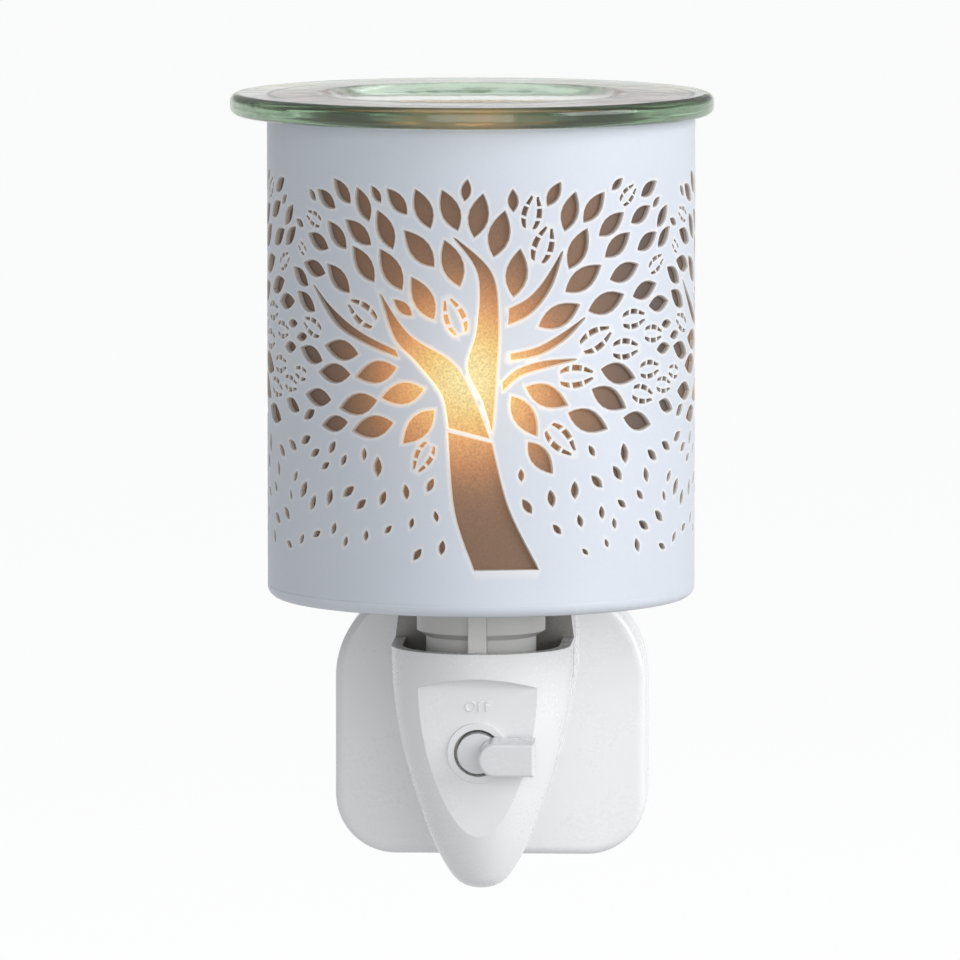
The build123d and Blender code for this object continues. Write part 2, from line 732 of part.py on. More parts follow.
def make_front_housing():
    """The bullet-shaped shell with its cup, shelf, neck, flat switch panel and screw bosses."""
    neck_front = PLATE_FRONT - NECK_OUT
    shell = bullet(0, PLATE_FRONT) + neck(0, neck_front, PLATE_FRONT)
    shell -= panel_pocket()
    far = 3 * BULLET_R
    keep_front = in_panel(Pos(0, 0, -BULLET_WALL) * Box(2 * far, 2 * far, far, align=FRONT))
    shelf_back = neck_front + BULLET_WALL
    keep_shelf = block(-far, far, AXIS_Y - far, shelf_back, SHELF_UNDER, SHELF_UNDER + far)
    keep_neck = block(-far, far, neck_front, far, RIM_Z - SHELF_DROP, RIM_Z + far)
    hollow = bullet(BULLET_WALL, PLATE_FRONT + 1) - keep_front - keep_shelf - keep_neck
    neck_hollow = neck(BULLET_WALL, neck_front + BULLET_WALL, PLATE_FRONT + 1)
    half = BULLET_R - BULLET_WALL
    cup = Pos(0, AXIS_Y, SHELF_TOP) * Cylinder(half, far, align=FRONT)
    cup += block(-half, half, AXIS_Y, neck_front, SHELF_TOP, SHELF_TOP + far)
    cup -= block(-far, far, neck_front, far, SHELF_TOP - 1, SHELF_TOP + 2 * far)
    shell -= hollow
    shell -= neck_hollow
    shell -= cup
    holder_hole = Cylinder(HOLDER_TAIL_R + SLIDE_GAP, SHELF_T + 2, align=FRONT)
    shell -= Pos(0, AXIS_Y, SHELF_UNDER - 1) * holder_hole
    shell += in_panel(extrude(Circle(KNOB_HOLE_R + RING_W) - Circle(KNOB_HOLE_R), RING_H))
    shell -= in_panel(Pos(0, 0, -2 * BULLET_WALL) * Cylinder(KNOB_HOLE_R, 3 * BULLET_WALL, align=FRONT))
    for x, z in screw_spots():
        shell += rod_along_y(BOSS_R, x, z, PLATE_FRONT - BOSS_LEN, PLATE_FRONT)
        shell -= rod_along_y(SCREW_R + SEAT_GAP, x, z, PLATE_FRONT - BOSS_LEN + 1, PLATE_FRONT)
    for way in (1, -1):
        shell += in_panel(case_hook(way))
    rib = BOSS_RIB_T / 2
    low = RIM_Z - BULLET_DEPTH + BULLET_WALL / 2
    high = -FOOT_SCREW_DROP - SCREW_R - 0.5
    shell += block(-rib, rib, PLATE_FRONT - BOSS_LEN, PLATE_FRONT, low, high)
    return shell


def case_hook(way):
    """A moulded finger beside the switch case, with a barb behind it."""
    inner = CASE_W / 2 + SEAT_GAP
    back = -BULLET_WALL - CASE_D - SEAT_GAP
    points = [
        (inner, -BULLET_WALL),
        (inner + HOOK_T, -BULLET_WALL),
        (inner + HOOK_T, back - 1.2),
        (inner - 0.4, back - 0.2),
        (inner - 0.4, back),
        (inner, back),
    ]
    face = Plane.XZ * polygon([(way * x, -z) for x, z in points])
    return Rot(180, 0, 0) * extrude(face, 2.0, both=True)


# Wall plate, pin base and plug pins

def plate_outline(inset):
    """The plate's rounded outline, with rounder corners at the top."""
    w, h = PLATE_W - 2 * inset, PLATE_H - 2 * inset
    face = Rectangle(w, h)
    top = face.vertices().group_by(Axis.Y)[-1]
    face = fillet(top, PLATE_TOP_R - inset)
    foot = [v for v in face.vertices() if v.Y < -h / 2 + 0.01]
    return fillet(foot, PLATE_FOOT_R - inset)


def make_plug_plate():
    """The plate's moulded shell, open at its back, with a window for the wires and screw bosses."""
    shell = extrude(Plane.XZ * plate_outline(0), PLATE_D)
    front_edges = shell.faces().sort_by(Axis.Y)[0].edges()
    shell = fillet(front_edges, PLATE_EDGE_R)
    shell -= extrude(Plane.XZ * plate_outline(PLATE_WALL), PLATE_D - PLATE_WALL)
    inner_face = PLATE_FRONT + PLATE_WALL
    for x, z in screw_spots():
        shell += rod_along_y(BOSS_R, x, z, inner_face - 0.5, -BASE_T)
        shell -= rod_along_y(SCREW_R + SLIDE_GAP, x, z, PLATE_FRONT - 1, 1)
    half_w, half_h = WINDOW_W / 2, WINDOW_H / 2
    middle = PIN_Z + WINDOW_H / 2 - 4
    shell -= block(-half_w, half_w, PLATE_FRONT - 1, inner_face + 1, middle - half_h, middle + half_h)
    return shell


def pin_bar(width, height, x, z, y0, y1):
    """A straight bar of rectangular section along the pins' direction."""
    return block(x - width / 2, x + width / 2, y0, y1, z - height / 2, z + height / 2)


def bevel_tip(bar, length):
    """Bevels the end that goes into the socket."""
    tip = bar.faces().sort_by(Axis.Y)[-1].edges()
    return chamfer(tip, length)


def make_pin_base():
    """The flat rear cover with the moulded earth pin and slots for the two brass pins."""
    cover = extrude(Plane.XZ * plate_outline(PLATE_WALL + SLIDE_GAP), BASE_T)
    cover += bevel_tip(pin_bar(EARTH_W, EARTH_H, 0, EARTH_Z, -1, EARTH_LEN), PIN_TIP_BEVEL)
    gap = 2 * SEAT_GAP
    for way in (1, -1):
        cover -= pin_bar(PIN_W + gap, PIN_T + gap, way * PIN_X, PIN_Z, -BASE_T - 1, 1)
    for x, z in screw_spots():
        cover -= rod_along_y(SCREW_R + SLIDE_GAP, x, z, -BASE_T - 1, 1)
        cover -= rod_along_y(SCREW_HEAD_R + SLIDE_GAP, x, z, -SCREW_HEAD_H - 0.3, 1)
    return cover


def make_pin(way):
    """A brass pin: flange and solder tag inside, a waist under the sleeve, a bevelled tip."""
    x = way * PIN_X
    blade = bevel_tip(pin_bar(PIN_W, PIN_T, x, PIN_Z, SLEEVE_LEN, PIN_LEN), PIN_TIP_BEVEL)
    waist = pin_bar(PIN_W - 2 * SLEEVE_T, PIN_T - 2 * SLEEVE_T, x, PIN_Z, -1, SLEEVE_LEN + 1)
    root = pin_bar(PIN_W, PIN_T, x, PIN_Z, -BASE_T - 0.5, 0)
    flange = pin_bar(PIN_W + 2, PIN_T + 2, x, PIN_Z, -BASE_T - 1.2, -BASE_T)
    tag = pin_bar(TAG_W, TAG_T, x, PIN_Z, -BASE_T - 1.0 - TAG_LEN, -BASE_T - 1.0)
    return blade + waist + root + flange + tag


def make_sleeves():
    """The insulating sleeves on the roots of both brass pins."""
    sleeves = []
    gap = 2 * SEAT_GAP
    for way in (1, -1):
        x = way * PIN_X
        outer = pin_bar(PIN_W, PIN_T, x, PIN_Z, 0, SLEEVE_LEN)
        core_w, core_t = PIN_W - 2 * SLEEVE_T + gap, PIN_T - 2 * SLEEVE_T + gap
        sleeves.append(outer - pin_bar(core_w, core_t, x, PIN_Z, -1, SLEEVE_LEN + 1))
    return Compound(children=sleeves)


def make_screws():
    """Three long screws from the back, with a cross recess in each head."""
    screws = []
    head_back = -0.3
    for x, z in screw_spots():
        screw = rod_along_y(SCREW_HEAD_R, x, z, head_back - SCREW_HEAD_H, head_back)
        screw += rod_along_y(SCREW_R, x, z, head_back - SCREW_LEN, head_back - SCREW_HEAD_H)
        for wide, tall in ((3.0, 0.8), (0.8, 3.0)):
            screw -= pin_bar(wide, tall, x, z, head_back - 0.9, head_back + 1)
        screws.append(screw)
    return Compound(children=screws)


# Switch, drawn about the knob's axis: x right, y up the panel, z out towards the user

def make_knob():
    """The knob: a disc in the panel's hole, a rounded lever to one side and a square spindle."""
    foot = 0.4 - BULLET_WALL
    disc = Pos(0, 0, foot) * Cylinder(KNOB_R, KNOB_PROUD - foot, align=FRONT)
    spindle = Pos(0, 0, foot - SPINDLE_LEN) * Box(SPINDLE_W, SPINDLE_W, SPINDLE_LEN, align=FRONT)
    half = LEVER_H / 2
    outline = [
        ThreePointArc((half, half), (0.3, 0), (half, -half)),
        Polyline((half, -half), (LEVER_LEN, -half), (LEVER_LEN, half), (half, half)),
    ]
    lever = extrude(make_face(outline), LEVER_PROUD)
    lever = fillet(lever.faces().sort_by(Axis.Z)[-1].edges(), 0.6)
    lift = RING_H + 2 * SLIDE_GAP
    lever -= Cylinder(KNOB_HOLE_R + RING_W + 1.0, lift, align=FRONT) - Cylinder(KNOB_R, 4)
    lever -= Pos(KNOB_R, -LEVER_H, 0) * Box(LEVER_LEN, 2 * LEVER_H, lift, align=Align.MIN)
    return in_panel(disc + spindle + lever)


def make_rotor():
    """The round cam that the spindle turns inside the case."""
    high = -BULLET_WALL - SLIDE_GAP
    rotor = Pos(0, 0, high - ROTOR_LEN) * Cylinder(ROTOR_R, ROTOR_LEN, align=FRONT)
    hole = SPINDLE_W + 2 * SEAT_GAP
    return in_panel(rotor - Pos(0, 0, high - ROTOR_LEN) * Box(hole, hole, ROTOR_LEN, align=FRONT))


def bridge_back():
    """How deep the bridge's back face lies behind the panel."""
    return -BULLET_WALL - SLIDE_GAP - ROTOR_LEN - BRIDGE_T


def make_bridge():
    """The moving contact on the cam's back, which joins the two terminals when on."""
    return in_panel(Pos(0, 0, bridge_back()) * Box(2 * ROTOR_R - 0.6, BRIDGE_W, BRIDGE_T, align=FRONT))


def make_case():
    """The switch case: a round well for the cam and two slots for the terminals."""
    high = -BULLET_WALL
    case = Pos(0, 0, high - CASE_D) * Box(CASE_W, CASE_H, CASE_D, align=FRONT)
    case -= Pos(0, 0, high - CASE_D + CASE_BACK) * Cylinder(ROTOR_R + TURN_GAP, CASE_D, align=FRONT)
    for way in (1, -1):
        slot = Box(LEAF_T + 2 * SEAT_GAP, LEAF_W + 2 * SEAT_GAP, 2 * CASE_D, align=FRONT)
        case -= Pos(way * terminal_x(), 0, high - 2 * CASE_D) * slot
    return in_panel(case)


def terminal_x():
    """How far each terminal's tail stands beside the knob's axis."""
    return ROTOR_R - 1.0


def make_terminal(way):
    """A fixed contact on the well's floor, bent back through the case to a solder tail."""
    floor = -BULLET_WALL - CASE_D + CASE_BACK
    top = min(floor + LEAF_T, bridge_back() - SLIDE_GAP)
    x = terminal_x()
    leaf = Pos(way * (x - 0.45), 0, floor) * Box(LEAF_T + 0.9, LEAF_W, top - floor, align=FRONT)
    tail_low = -BULLET_WALL - CASE_D - TAIL_LEN
    tail = Pos(way * x, 0, tail_low) * Box(LEAF_T, LEAF_W, floor - tail_low + 0.1, align=FRONT)
    return in_panel(leaf + tail)


def tail_end(way):
    """The end of a terminal's tail, and a spot further back in line with it."""
    deep = -BULLET_WALL - CASE_D - TAIL_LEN
    end = PANEL.from_local_coords((way * terminal_x(), 0, deep))
    back = PANEL.from_local_coords((way * terminal_x(), 0, deep - 9.0))
    return end, back


# Wires inside the housing

def pin_wire_start(way):
    """Where a wire leaves a pin's tag, and where it turns into the window."""
    y = -BASE_T - 1.0 - TAG_LEN + LEAD_R
    tag_side = way * (PIN_X - TAG_W / 2)
    turn = way * (WINDOW_W / 2 - LEAD_R - 2.0)
    return (tag_side, y, PIN_Z), (turn, y, PIN_Z)


def make_line_lead():
    """The wire from the live pin to the switch."""
    start, turn = pin_wire_start(1)
    end, back = tail_end(1)
    points = [start, turn, (turn[0], back.Y, PIN_Z), tuple(back), tuple(end)]
    return wire(points)


def make_neutral_lead():
    """The wire from the neutral pin to the screw shell."""
    start, turn = pin_wire_start(-1)
    out = SHELL_IN_R - 0.25 + CONTACT_T / 2
    x = -out * math.cos(math.radians(SHELL_TAIL_TURN))
    y = AXIS_Y + out * math.sin(math.radians(SHELL_TAIL_TURN))
    low = HOLDER_BOTTOM - CONTACT_TAIL
    points = [start, (x, start[1], PIN_Z), (x, y, PIN_Z), (x, y, low)]
    return wire(points)


def make_load_lead():
    """The short wire from the switch to the centre contact."""
    end, back = tail_end(-1)
    out, thick = centre_tail()
    y = AXIS_Y + out + thick / 2
    low = HOLDER_BOTTOM - CONTACT_TAIL
    points = [tuple(end), tuple(back), (0, back.Y, low - 6.5), (0, y, low - 6.5), (0, y, low)]
    return wire(points)


NODES = {
    "glass_dish": make_dish,
    "shade_wall": make_shade_wall,
    "shade_floor": make_shade_floor,
    "diffuser_liner": make_liner,
    "shade_ring": make_shade_ring,
    "bulb_glass": make_bulb_glass,
    "bulb_cap": make_bulb_cap,
    "bulb_insulator": make_bulb_insulator,
    "bulb_tip": make_bulb_tip,
    "bulb_stem": make_bulb_stem,
    "bulb_leads": make_bulb_leads,
    "bulb_filament": make_filament,
    "lampholder_body": make_holder,
    "holder_clip": make_holder_clip,
    "screw_shell": make_screw_shell,
    "centre_contact": make_centre_contact,
    "shell_contact": make_shell_contact,
    "front_housing": make_front_housing,
    "plug_plate": make_plug_plate,
    "pin_base": make_pin_base,
    "line_pin": lambda: make_pin(1),
    "neutral_pin": lambda: make_pin(-1),
    "pin_sleeves": make_sleeves,
    "rear_screws": make_screws,
    "switch_knob": make_knob,
    "switch_rotor": make_rotor,
    "switch_bridge": make_bridge,
    "switch_case": make_case,
    "line_terminal": lambda: make_terminal(1),
    "load_terminal": lambda: make_terminal(-1),
    "line_lead": make_line_lead,
    "load_lead": make_load_lead,
    "neutral_lead": make_neutral_lead,
}

for name, make in NODES.items():
    export_step(make(), f"parts/{name}.step")
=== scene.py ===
"""Looks of a plug-in wax melt warmer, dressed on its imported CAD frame."""

import json
import logging
import math
from dataclasses import dataclass, replace
from enum import Enum
from itertools import accumulate, chain
from typing import Any, Callable, Iterator, Sequence

import bpy
from bpy.types import Material, Mesh, Node, NodeSocket as Socket, NodeTree as Tree, Object
from mathutils import Matrix, Vector
from mathutils.geometry import delaunay_2d_cdt
from mathutils.kdtree import KDTree


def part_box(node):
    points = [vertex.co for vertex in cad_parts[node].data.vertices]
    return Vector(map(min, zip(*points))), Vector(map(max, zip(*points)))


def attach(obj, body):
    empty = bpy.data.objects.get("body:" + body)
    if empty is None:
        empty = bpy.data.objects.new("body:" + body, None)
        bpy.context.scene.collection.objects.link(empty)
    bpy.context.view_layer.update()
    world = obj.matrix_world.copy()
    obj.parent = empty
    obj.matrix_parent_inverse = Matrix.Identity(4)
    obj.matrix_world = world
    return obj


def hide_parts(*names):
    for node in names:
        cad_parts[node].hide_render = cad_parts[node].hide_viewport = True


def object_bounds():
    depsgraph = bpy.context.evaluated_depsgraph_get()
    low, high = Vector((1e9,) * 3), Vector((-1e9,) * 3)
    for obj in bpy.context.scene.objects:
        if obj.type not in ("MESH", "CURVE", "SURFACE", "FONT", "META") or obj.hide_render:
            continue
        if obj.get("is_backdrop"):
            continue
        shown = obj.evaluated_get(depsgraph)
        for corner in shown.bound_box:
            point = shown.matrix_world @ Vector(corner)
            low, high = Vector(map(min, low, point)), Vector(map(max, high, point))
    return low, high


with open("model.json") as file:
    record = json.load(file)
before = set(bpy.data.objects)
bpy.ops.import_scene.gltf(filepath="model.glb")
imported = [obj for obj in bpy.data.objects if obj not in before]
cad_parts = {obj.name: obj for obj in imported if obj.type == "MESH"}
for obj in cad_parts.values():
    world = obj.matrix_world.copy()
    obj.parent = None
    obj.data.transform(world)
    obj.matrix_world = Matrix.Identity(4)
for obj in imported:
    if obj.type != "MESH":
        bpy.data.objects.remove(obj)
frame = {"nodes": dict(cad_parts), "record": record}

LOG = logging.getLogger("warmer")
MM = 0.001
GOLDEN = (math.sqrt(5) - 1) / 2
BASE_BODY = "base"
TREES = 3
SKIN_RELIEF = 0.1 * MM
GLASS_RELIEF = 0.4 * MM
COAT_ROUGHNESS = 0.12
GLASS_IOR = 1.5
Point = tuple[float, float]
Disc = tuple[float, float, float]
Colour = tuple[float, float, float]
Sides = tuple[list[Point], list[Point]]
Cell = tuple[int, int]
Offer = tuple[float, float, float, float, float]


class Ray(str, Enum):
    """The kinds of ray that see the bright studio."""

    CAMERA = "Is Camera Ray"
    GLOSSY = "Is Glossy Ray"
    TRANSMISSION = "Is Transmission Ray"


# Shader building


class Graph:
    """Adds and joins the nodes of one shader tree."""

    def __init__(self, tree: Tree) -> None:
        """Keeps the tree that nodes are added to."""
        self.tree = tree

    def add(self, kind: str, inputs: dict[Any, Any] | None = None, **settings: Any) -> Node:
        """Adds one node.

        Args:
            kind: Blender's name of the node type.
            inputs: socket name or number to a plain value, or to an output socket to link.
            settings: properties of the node itself.

        Returns:
            The new node.
        """
        node = self.tree.nodes.new(kind)
        for name, value in settings.items():
            setattr(node, name, value)
        for name, value in (inputs or {}).items():
            if isinstance(value, Socket):
                self.tree.links.new(value, node.inputs[name])
            else:
                node.inputs[name].default_value = value
        return node

    def join(self, source: Socket, node: Node, name: str) -> None:
        """Links an output to a node's named input."""
        self.tree.links.new(source, node.inputs[name])

    def place(self, group: Tree, **values: float) -> Node:
        """Places a shared group in this tree.

        Args:
            group: the node group.
            values: input values, with underscores for spaces.

        Returns:
            The group's node.
        """
        node = self.add("ShaderNodeGroup", node_tree=group)
        for name, value in values.items():
            node.inputs[name.replace("_", " ")].default_value = value
        return node

    def math(self, operation: str, *values: Any) -> Socket:
        """Adds a Math node.

        Args:
            operation: the Math node's operation.
            values: numbers or output sockets, in order.

        Returns:
            The result's socket.
        """
        node = self.add("ShaderNodeMath", dict(enumerate(values)), operation=operation)
        return node.outputs[0]

    def mix(self, factor: Any, first: Any, second: Any) -> Socket:
        """Mixes two colours.

        Args:
            factor: 0 for the first colour and 1 for the second.
            first: colour with alpha, or a socket.
            second: colour with alpha, or a socket.

        Returns:
            The mixed colour's socket.
        """
        node = self.add("ShaderNodeMix", data_type="RGBA")
        for number, value in ((0, factor), (6, first), (7, second)):
            if isinstance(value, Socket):
                self.tree.links.new(value, node.inputs[number])
            else:
                node.inputs[number].default_value = value
        return node.outputs[2]

    def span(self, value: Socket, low: float, high: float, to_low: float, to_high: float) -> Socket:
        """Maps a value from one range to another, held at the ends.

        Args:
            value: what is mapped.
            low: lowest value read.
            high: highest value read.
            to_low: result at the lowest value.
            to_high: result at the highest value.

        Returns:
            The mapped value's socket.
        """
        node = self.add("ShaderNodeMapRange", {0: value, 1: low, 2: high, 3: to_low, 4: to_high})
        return node.outputs[0]

    def mask(self, value: Socket, low: float, high: float) -> Socket:
        """A mask that rises from 0 at the low value to 1 at the high one."""
        return self.span(value, low, high, 0.0, 1.0)

    def times(self, first: Any, second: Any) -> Socket:
        """The product of two values."""
        return self.math("MULTIPLY", first, second)

    def minus(self, first: Any, second: Any) -> Socket:
        """The difference of two values."""
        return self.math("SUBTRACT", first, second)

    def noise(self, scale: Socket, detail: float, roughness: float = 0.5) -> Socket:
        """Adds noise that stays on the piece.

        Args:
            scale: how fine it is.
            detail: how many finer layers it has.
            roughness: how strong the finer layers are.

        Returns:
            The noise's value socket.
        """
        place = self.add("ShaderNodeTexCoord").outputs["Object"]
        inputs = {"Vector": place, "Scale": scale, "Detail": detail, "Roughness": roughness}
        return self.add("ShaderNodeTexNoise", inputs).outputs[0]

    def place_xyz(self) -> Sequence[Socket]:
        """The X, Y and Z of a place on the piece."""
        place = self.add("ShaderNodeTexCoord").outputs["Object"]
        return self.add("ShaderNodeSeparateXYZ", {0: place}).outputs

    def facing_up(self) -> Socket:
        """How far a face looks up: 1 where it lies level, -1 where it looks down."""
        normal = self.add("ShaderNodeNewGeometry").outputs["Normal"]
        return self.add("ShaderNodeSeparateXYZ", {0: normal}).outputs["Z"]


def fresh_graph(owner: Any) -> Graph:
    """An emptied shader graph of a material or a world."""
    owner.use_nodes = True
    owner.node_tree.nodes.clear()
    return Graph(owner.node_tree)


def rgba(colour: Colour) -> tuple[float, float, float, float]:
    """A colour with full alpha."""
    return (*colour, 1.0)


def build_group(name: str, inputs: dict[str, float], outputs: Sequence[str], wire: Callable) -> Tree:
    """Makes a shader node group once and gives the same one after that.

    Args:
        name: the group's name.
        inputs: input names with their default values.
        outputs: names of the value outputs.
        wire: called with the Graph, the input node and the output node.

    Returns:
        The node group.
    """
    found = bpy.data.node_groups.get(name)
    if found:
        return found
    tree = bpy.data.node_groups.new(name, "ShaderNodeTree")
    for socket, value in inputs.items():
        made = tree.interface.new_socket(socket, in_out="INPUT", socket_type="NodeSocketFloat")
        made.default_value = value
    for socket in outputs:
        tree.interface.new_socket(socket, in_out="OUTPUT", socket_type="NodeSocketFloat")
    graph = Graph(tree)
    wire(graph, graph.add("NodeGroupInput"), graph.add("NodeGroupOutput"))
    return tree


def moulding_group() -> Tree:
    """The faint cloudiness and fine grain of a moulded or painted skin, as a tone and a height."""

    def wire(graph: Graph, given: Node, out: Node) -> None:
        """Wires the group."""
        cloud = graph.noise(given.outputs["Cloud Scale"], 3.0)
        grain = graph.noise(given.outputs["Grain Scale"], 2.0)
        both = graph.math("MULTIPLY_ADD", grain, 0.35, graph.times(cloud, 0.65))
        graph.join(graph.mask(both, 0.3, 0.7), out, "Tone")
        graph.join(grain, out, "Height")

    return build_group("moulded_skin", {"Cloud Scale": 60.0, "Grain Scale": 1800.0}, ("Tone", "Height"), wire)


def dust_group() -> Tree:
    """Fine dust that settles on faces that look up, as a mask."""

    def wire(graph: Graph, given: Node, out: Node) -> None:
        """Wires the group."""
        patch = graph.mask(graph.noise(given.outputs["Scale"], 6.0), 0.4, 0.75)
        lying = graph.times(graph.mask(graph.facing_up(), 0.55, 1.0), patch)
        graph.join(graph.times(lying, given.outputs["Amount"]), out, "Mask")

    return build_group("settled_dust", {"Scale": 320.0, "Amount": 0.3}, ("Mask",), wire)


def speckle_group() -> Tree:
    """Fine flecks in a sheet, as a mask about a middle of one half."""

    def wire(graph: Graph, given: Node, out: Node) -> None:
        """Wires the group."""
        graph.join(graph.mask(graph.noise(given.outputs["Scale"], 4.0, 0.7), 0.3, 0.7), out, "Mask")

    return build_group("sheet_flecks", {"Scale": 1600.0}, ("Mask",), wire)


def edge_group() -> Tree:
    """How near a place is to the rim of a round thing, as a mask."""

    def wire(graph: Graph, given: Node, out: Node) -> None:
        """Wires the group."""
        x, y, _ = graph.place_xyz()
        across = graph.minus(x, given.outputs["Axis X"])
        along = graph.minus(y, given.outputs["Axis Y"])
        square = graph.math("ADD", graph.times(across, across), graph.times(along, along))
        share = graph.math("DIVIDE", graph.math("SQRT", square), given.outputs["Reach"])
        graph.join(graph.mask(share, 0.95, 0.985), out, "Mask")

    return build_group("round_edge", {"Axis X": 0.0, "Axis Y": 0.0, "Reach": 1.0}, ("Mask",), wire)


@dataclass(frozen=True)
class PaintedCupShade:
    """The open cup in the housing's top, where light hardly reaches: its colour is painted shade."""

    axis_y: float
    reach: float
    floor: float
    back: float
    # painted shade colour for the inside of the cup
    colour: Colour = (0.27, 0.26, 0.24)

    def inputs(self) -> dict[str, float]:
        """The values that the cup's group takes."""
        return {"Axis_Y": self.axis_y, "Reach": self.reach, "Floor": self.floor, "Back": self.back}


def painted_cup_shade_group() -> Tree:
    """What lies inside the housing's cup, as a mask for its painted shade."""

    def wire(graph: Graph, given: Node, out: Node) -> None:
        """Wires the group."""
        x, y, z = graph.place_xyz()
        ahead = graph.math("MINIMUM", graph.minus(y, given.outputs["Axis Y"]), 0.0)
        away = graph.math("SQRT", graph.math("MULTIPLY_ADD", ahead, ahead, graph.times(x, x)))
        on_neck = graph.math("GREATER_THAN", y, graph.minus(given.outputs["Back"], 0.2 * MM))
        mask = graph.math("MAXIMUM", on_neck, graph.math("LESS_THAN", away, given.outputs["Reach"]))
        mask = graph.times(mask, graph.math("GREATER_THAN", z, given.outputs["Floor"]))
        mask = graph.times(mask, graph.math("LESS_THAN", y, given.outputs["Back"]))
        graph.join(mask, out, "Mask")

    inputs = {"Axis Y": 0.0, "Reach": 0.0, "Floor": 0.0, "Back": 0.0}
    return build_group("cup_shade", inputs, ("Mask",), wire)


@dataclass(frozen=True)
class Lamp:
    """Where the bulb's painted glow is centred: the axis it stands on, its height and how far it reaches."""

    axis_y: float
    height: float
    reach: float = 13.3 * MM
    narrow: float = 3.0

    def inputs(self) -> dict[str, float]:
        """The values that the glow's group takes."""
        return {"Axis_Y": self.axis_y, "Height": self.height, "Reach": self.reach, "Narrow": self.narrow}


def painted_glow_group() -> Tree:
    """How strongly the bulb's painted glow shows through each side of the shade, 1 at the three hot spots."""

    def wire(graph: Graph, given: Node, out: Node) -> None:
        """Wires the group."""
        x, y, z = graph.place_xyz()
        depth = graph.minus(given.outputs["Axis Y"], y)
        turn = graph.math("ARCTAN2", x, depth)
        lobe = graph.mask(graph.math("COSINE", graph.times(turn, float(TREES))), -1.0, 1.0)
        side = graph.math("POWER", lobe, given.outputs["Narrow"])
        rise = graph.math("DIVIDE", graph.minus(z, given.outputs["Height"]), given.outputs["Reach"])
        fall = graph.math("EXPONENT", graph.times(graph.times(rise, rise), -1.0))
        graph.join(graph.times(side, fall), out, "Glow")
        graph.join(lobe, out, "Lobe")
        normal = graph.add("ShaderNodeNewGeometry").outputs["Normal"]
        away = graph.add("ShaderNodeCombineXYZ", {"X": x, "Y": graph.times(depth, -1.0)}).outputs[0]
        facing = graph.add("ShaderNodeVectorMath", {0: normal, 1: away}, operation="DOT_PRODUCT")
        graph.join(graph.math("DIVIDE", facing.outputs["Value"], 36 * MM), out, "Outward")

    inputs = {"Axis Y": 0.0, "Height": 0.0, "Reach": 15 * MM, "Narrow": 4.6}
    return build_group("painted_lamp_glow", inputs, ("Glow", "Lobe", "Outward"), wire)


class Finish:
    """Base of the finishes: a named material with one Principled BSDF, made once."""

    name: str

    def make(self) -> Material:
        """Builds the material."""
        raise NotImplementedError

    def material(self) -> Material:
        """The finish as a material, the same one each time.

        Returns:
            The material.
        """
        if self.name not in MADE:
            MADE[self.name] = self.make()
        return MADE[self.name]

    def start(self) -> tuple[Material, Graph, Node]:
        """Makes an empty material.

        Returns:
            The material, its graph and its Principled BSDF.
        """
        material = bpy.data.materials.new(self.name)
        graph = fresh_graph(material)
        shader = graph.add("ShaderNodeBsdfPrincipled")
        graph.add("ShaderNodeOutputMaterial", {"Surface": shader.outputs[0]})
        return material, graph, shader

    def paint_glow(self, graph: Graph, shader: Node, colour: Any, amount: Socket) -> None:
        """Paints a glow on the surface: light of its own, though it is no lamp.

        Args:
            graph: the material's graph.
            shader: its Principled BSDF.
            colour: the light's colour with alpha, or a socket.
            amount: how much of it each place gives, from 0 to 1.
        """
        graph.join(graph.mix(amount, rgba(UNLIT), colour), shader, "Emission Color")
        shader.inputs["Emission Strength"].default_value = 1.0


@dataclass(frozen=True)
class Skin(Finish):
    """A moulded or plated opaque skin: cloudy tone, fine grain, soft edges and a little dust, with painted
    shade on faces that look down and in the housing's cup where set.
    """

    name: str
    colour: Colour
    shade: Colour
    roughness: float
    grain: float = 1800.0
    cloud: float = 60.0
    bump: float = 0.08
    edge: float = 0.3 * MM
    coat: float = 0.0
    metallic: float = 0.0
    dust: float = 0.15
    under: float = 0.0
    painted_cup_shade: PaintedCupShade | None = None

    def make(self) -> Material:
        """Builds the skin."""
        material, graph, shader = self.start()
        skin = graph.place(moulding_group(), Cloud_Scale=self.cloud, Grain_Scale=self.grain)
        dust = graph.place(dust_group(), Amount=self.dust)
        colour = graph.mix(skin.outputs["Tone"], rgba(self.shade), rgba(self.colour))
        colour = graph.mix(dust.outputs["Mask"], colour, rgba(DUST))
        # Painted shade: faces that look down turn dark, standing for the shadow under the shade's floor.
        if self.under:
            underside_shade_mask = graph.span(graph.facing_up(), -0.9, -0.99, 0.0, self.under)
            colour = graph.mix(underside_shade_mask, colour, rgba(UNDERSIDE_SHADE))
        # Painted shade: the inside of the housing's cup and the neck behind it turn dark.
        if self.painted_cup_shade:
            inside = graph.place(painted_cup_shade_group(), **self.painted_cup_shade.inputs()).outputs["Mask"]
            colour = graph.mix(inside, colour, rgba(self.painted_cup_shade.colour))
        graph.join(colour, shader, "Base Color")
        low, high = 0.85 * self.roughness, min(1.0, 1.15 * self.roughness)
        graph.join(graph.span(skin.outputs["Tone"], 0.0, 1.0, high, low), shader, "Roughness")
        bump = graph.add("ShaderNodeBump", {"Strength": self.bump, "Distance": SKIN_RELIEF})
        graph.join(skin.outputs["Height"], bump, "Height")
        if self.edge:
            rounded = graph.add("ShaderNodeBevel", {"Radius": self.edge}, samples=8)
            graph.join(rounded.outputs[0], bump, "Normal")
        graph.join(bump.outputs[0], shader, "Normal")
        shader.inputs["Metallic"].default_value = self.metallic
        shader.inputs["Coat Weight"].default_value = self.coat
        shader.inputs["Coat Roughness"].default_value = COAT_ROUGHNESS
        return material


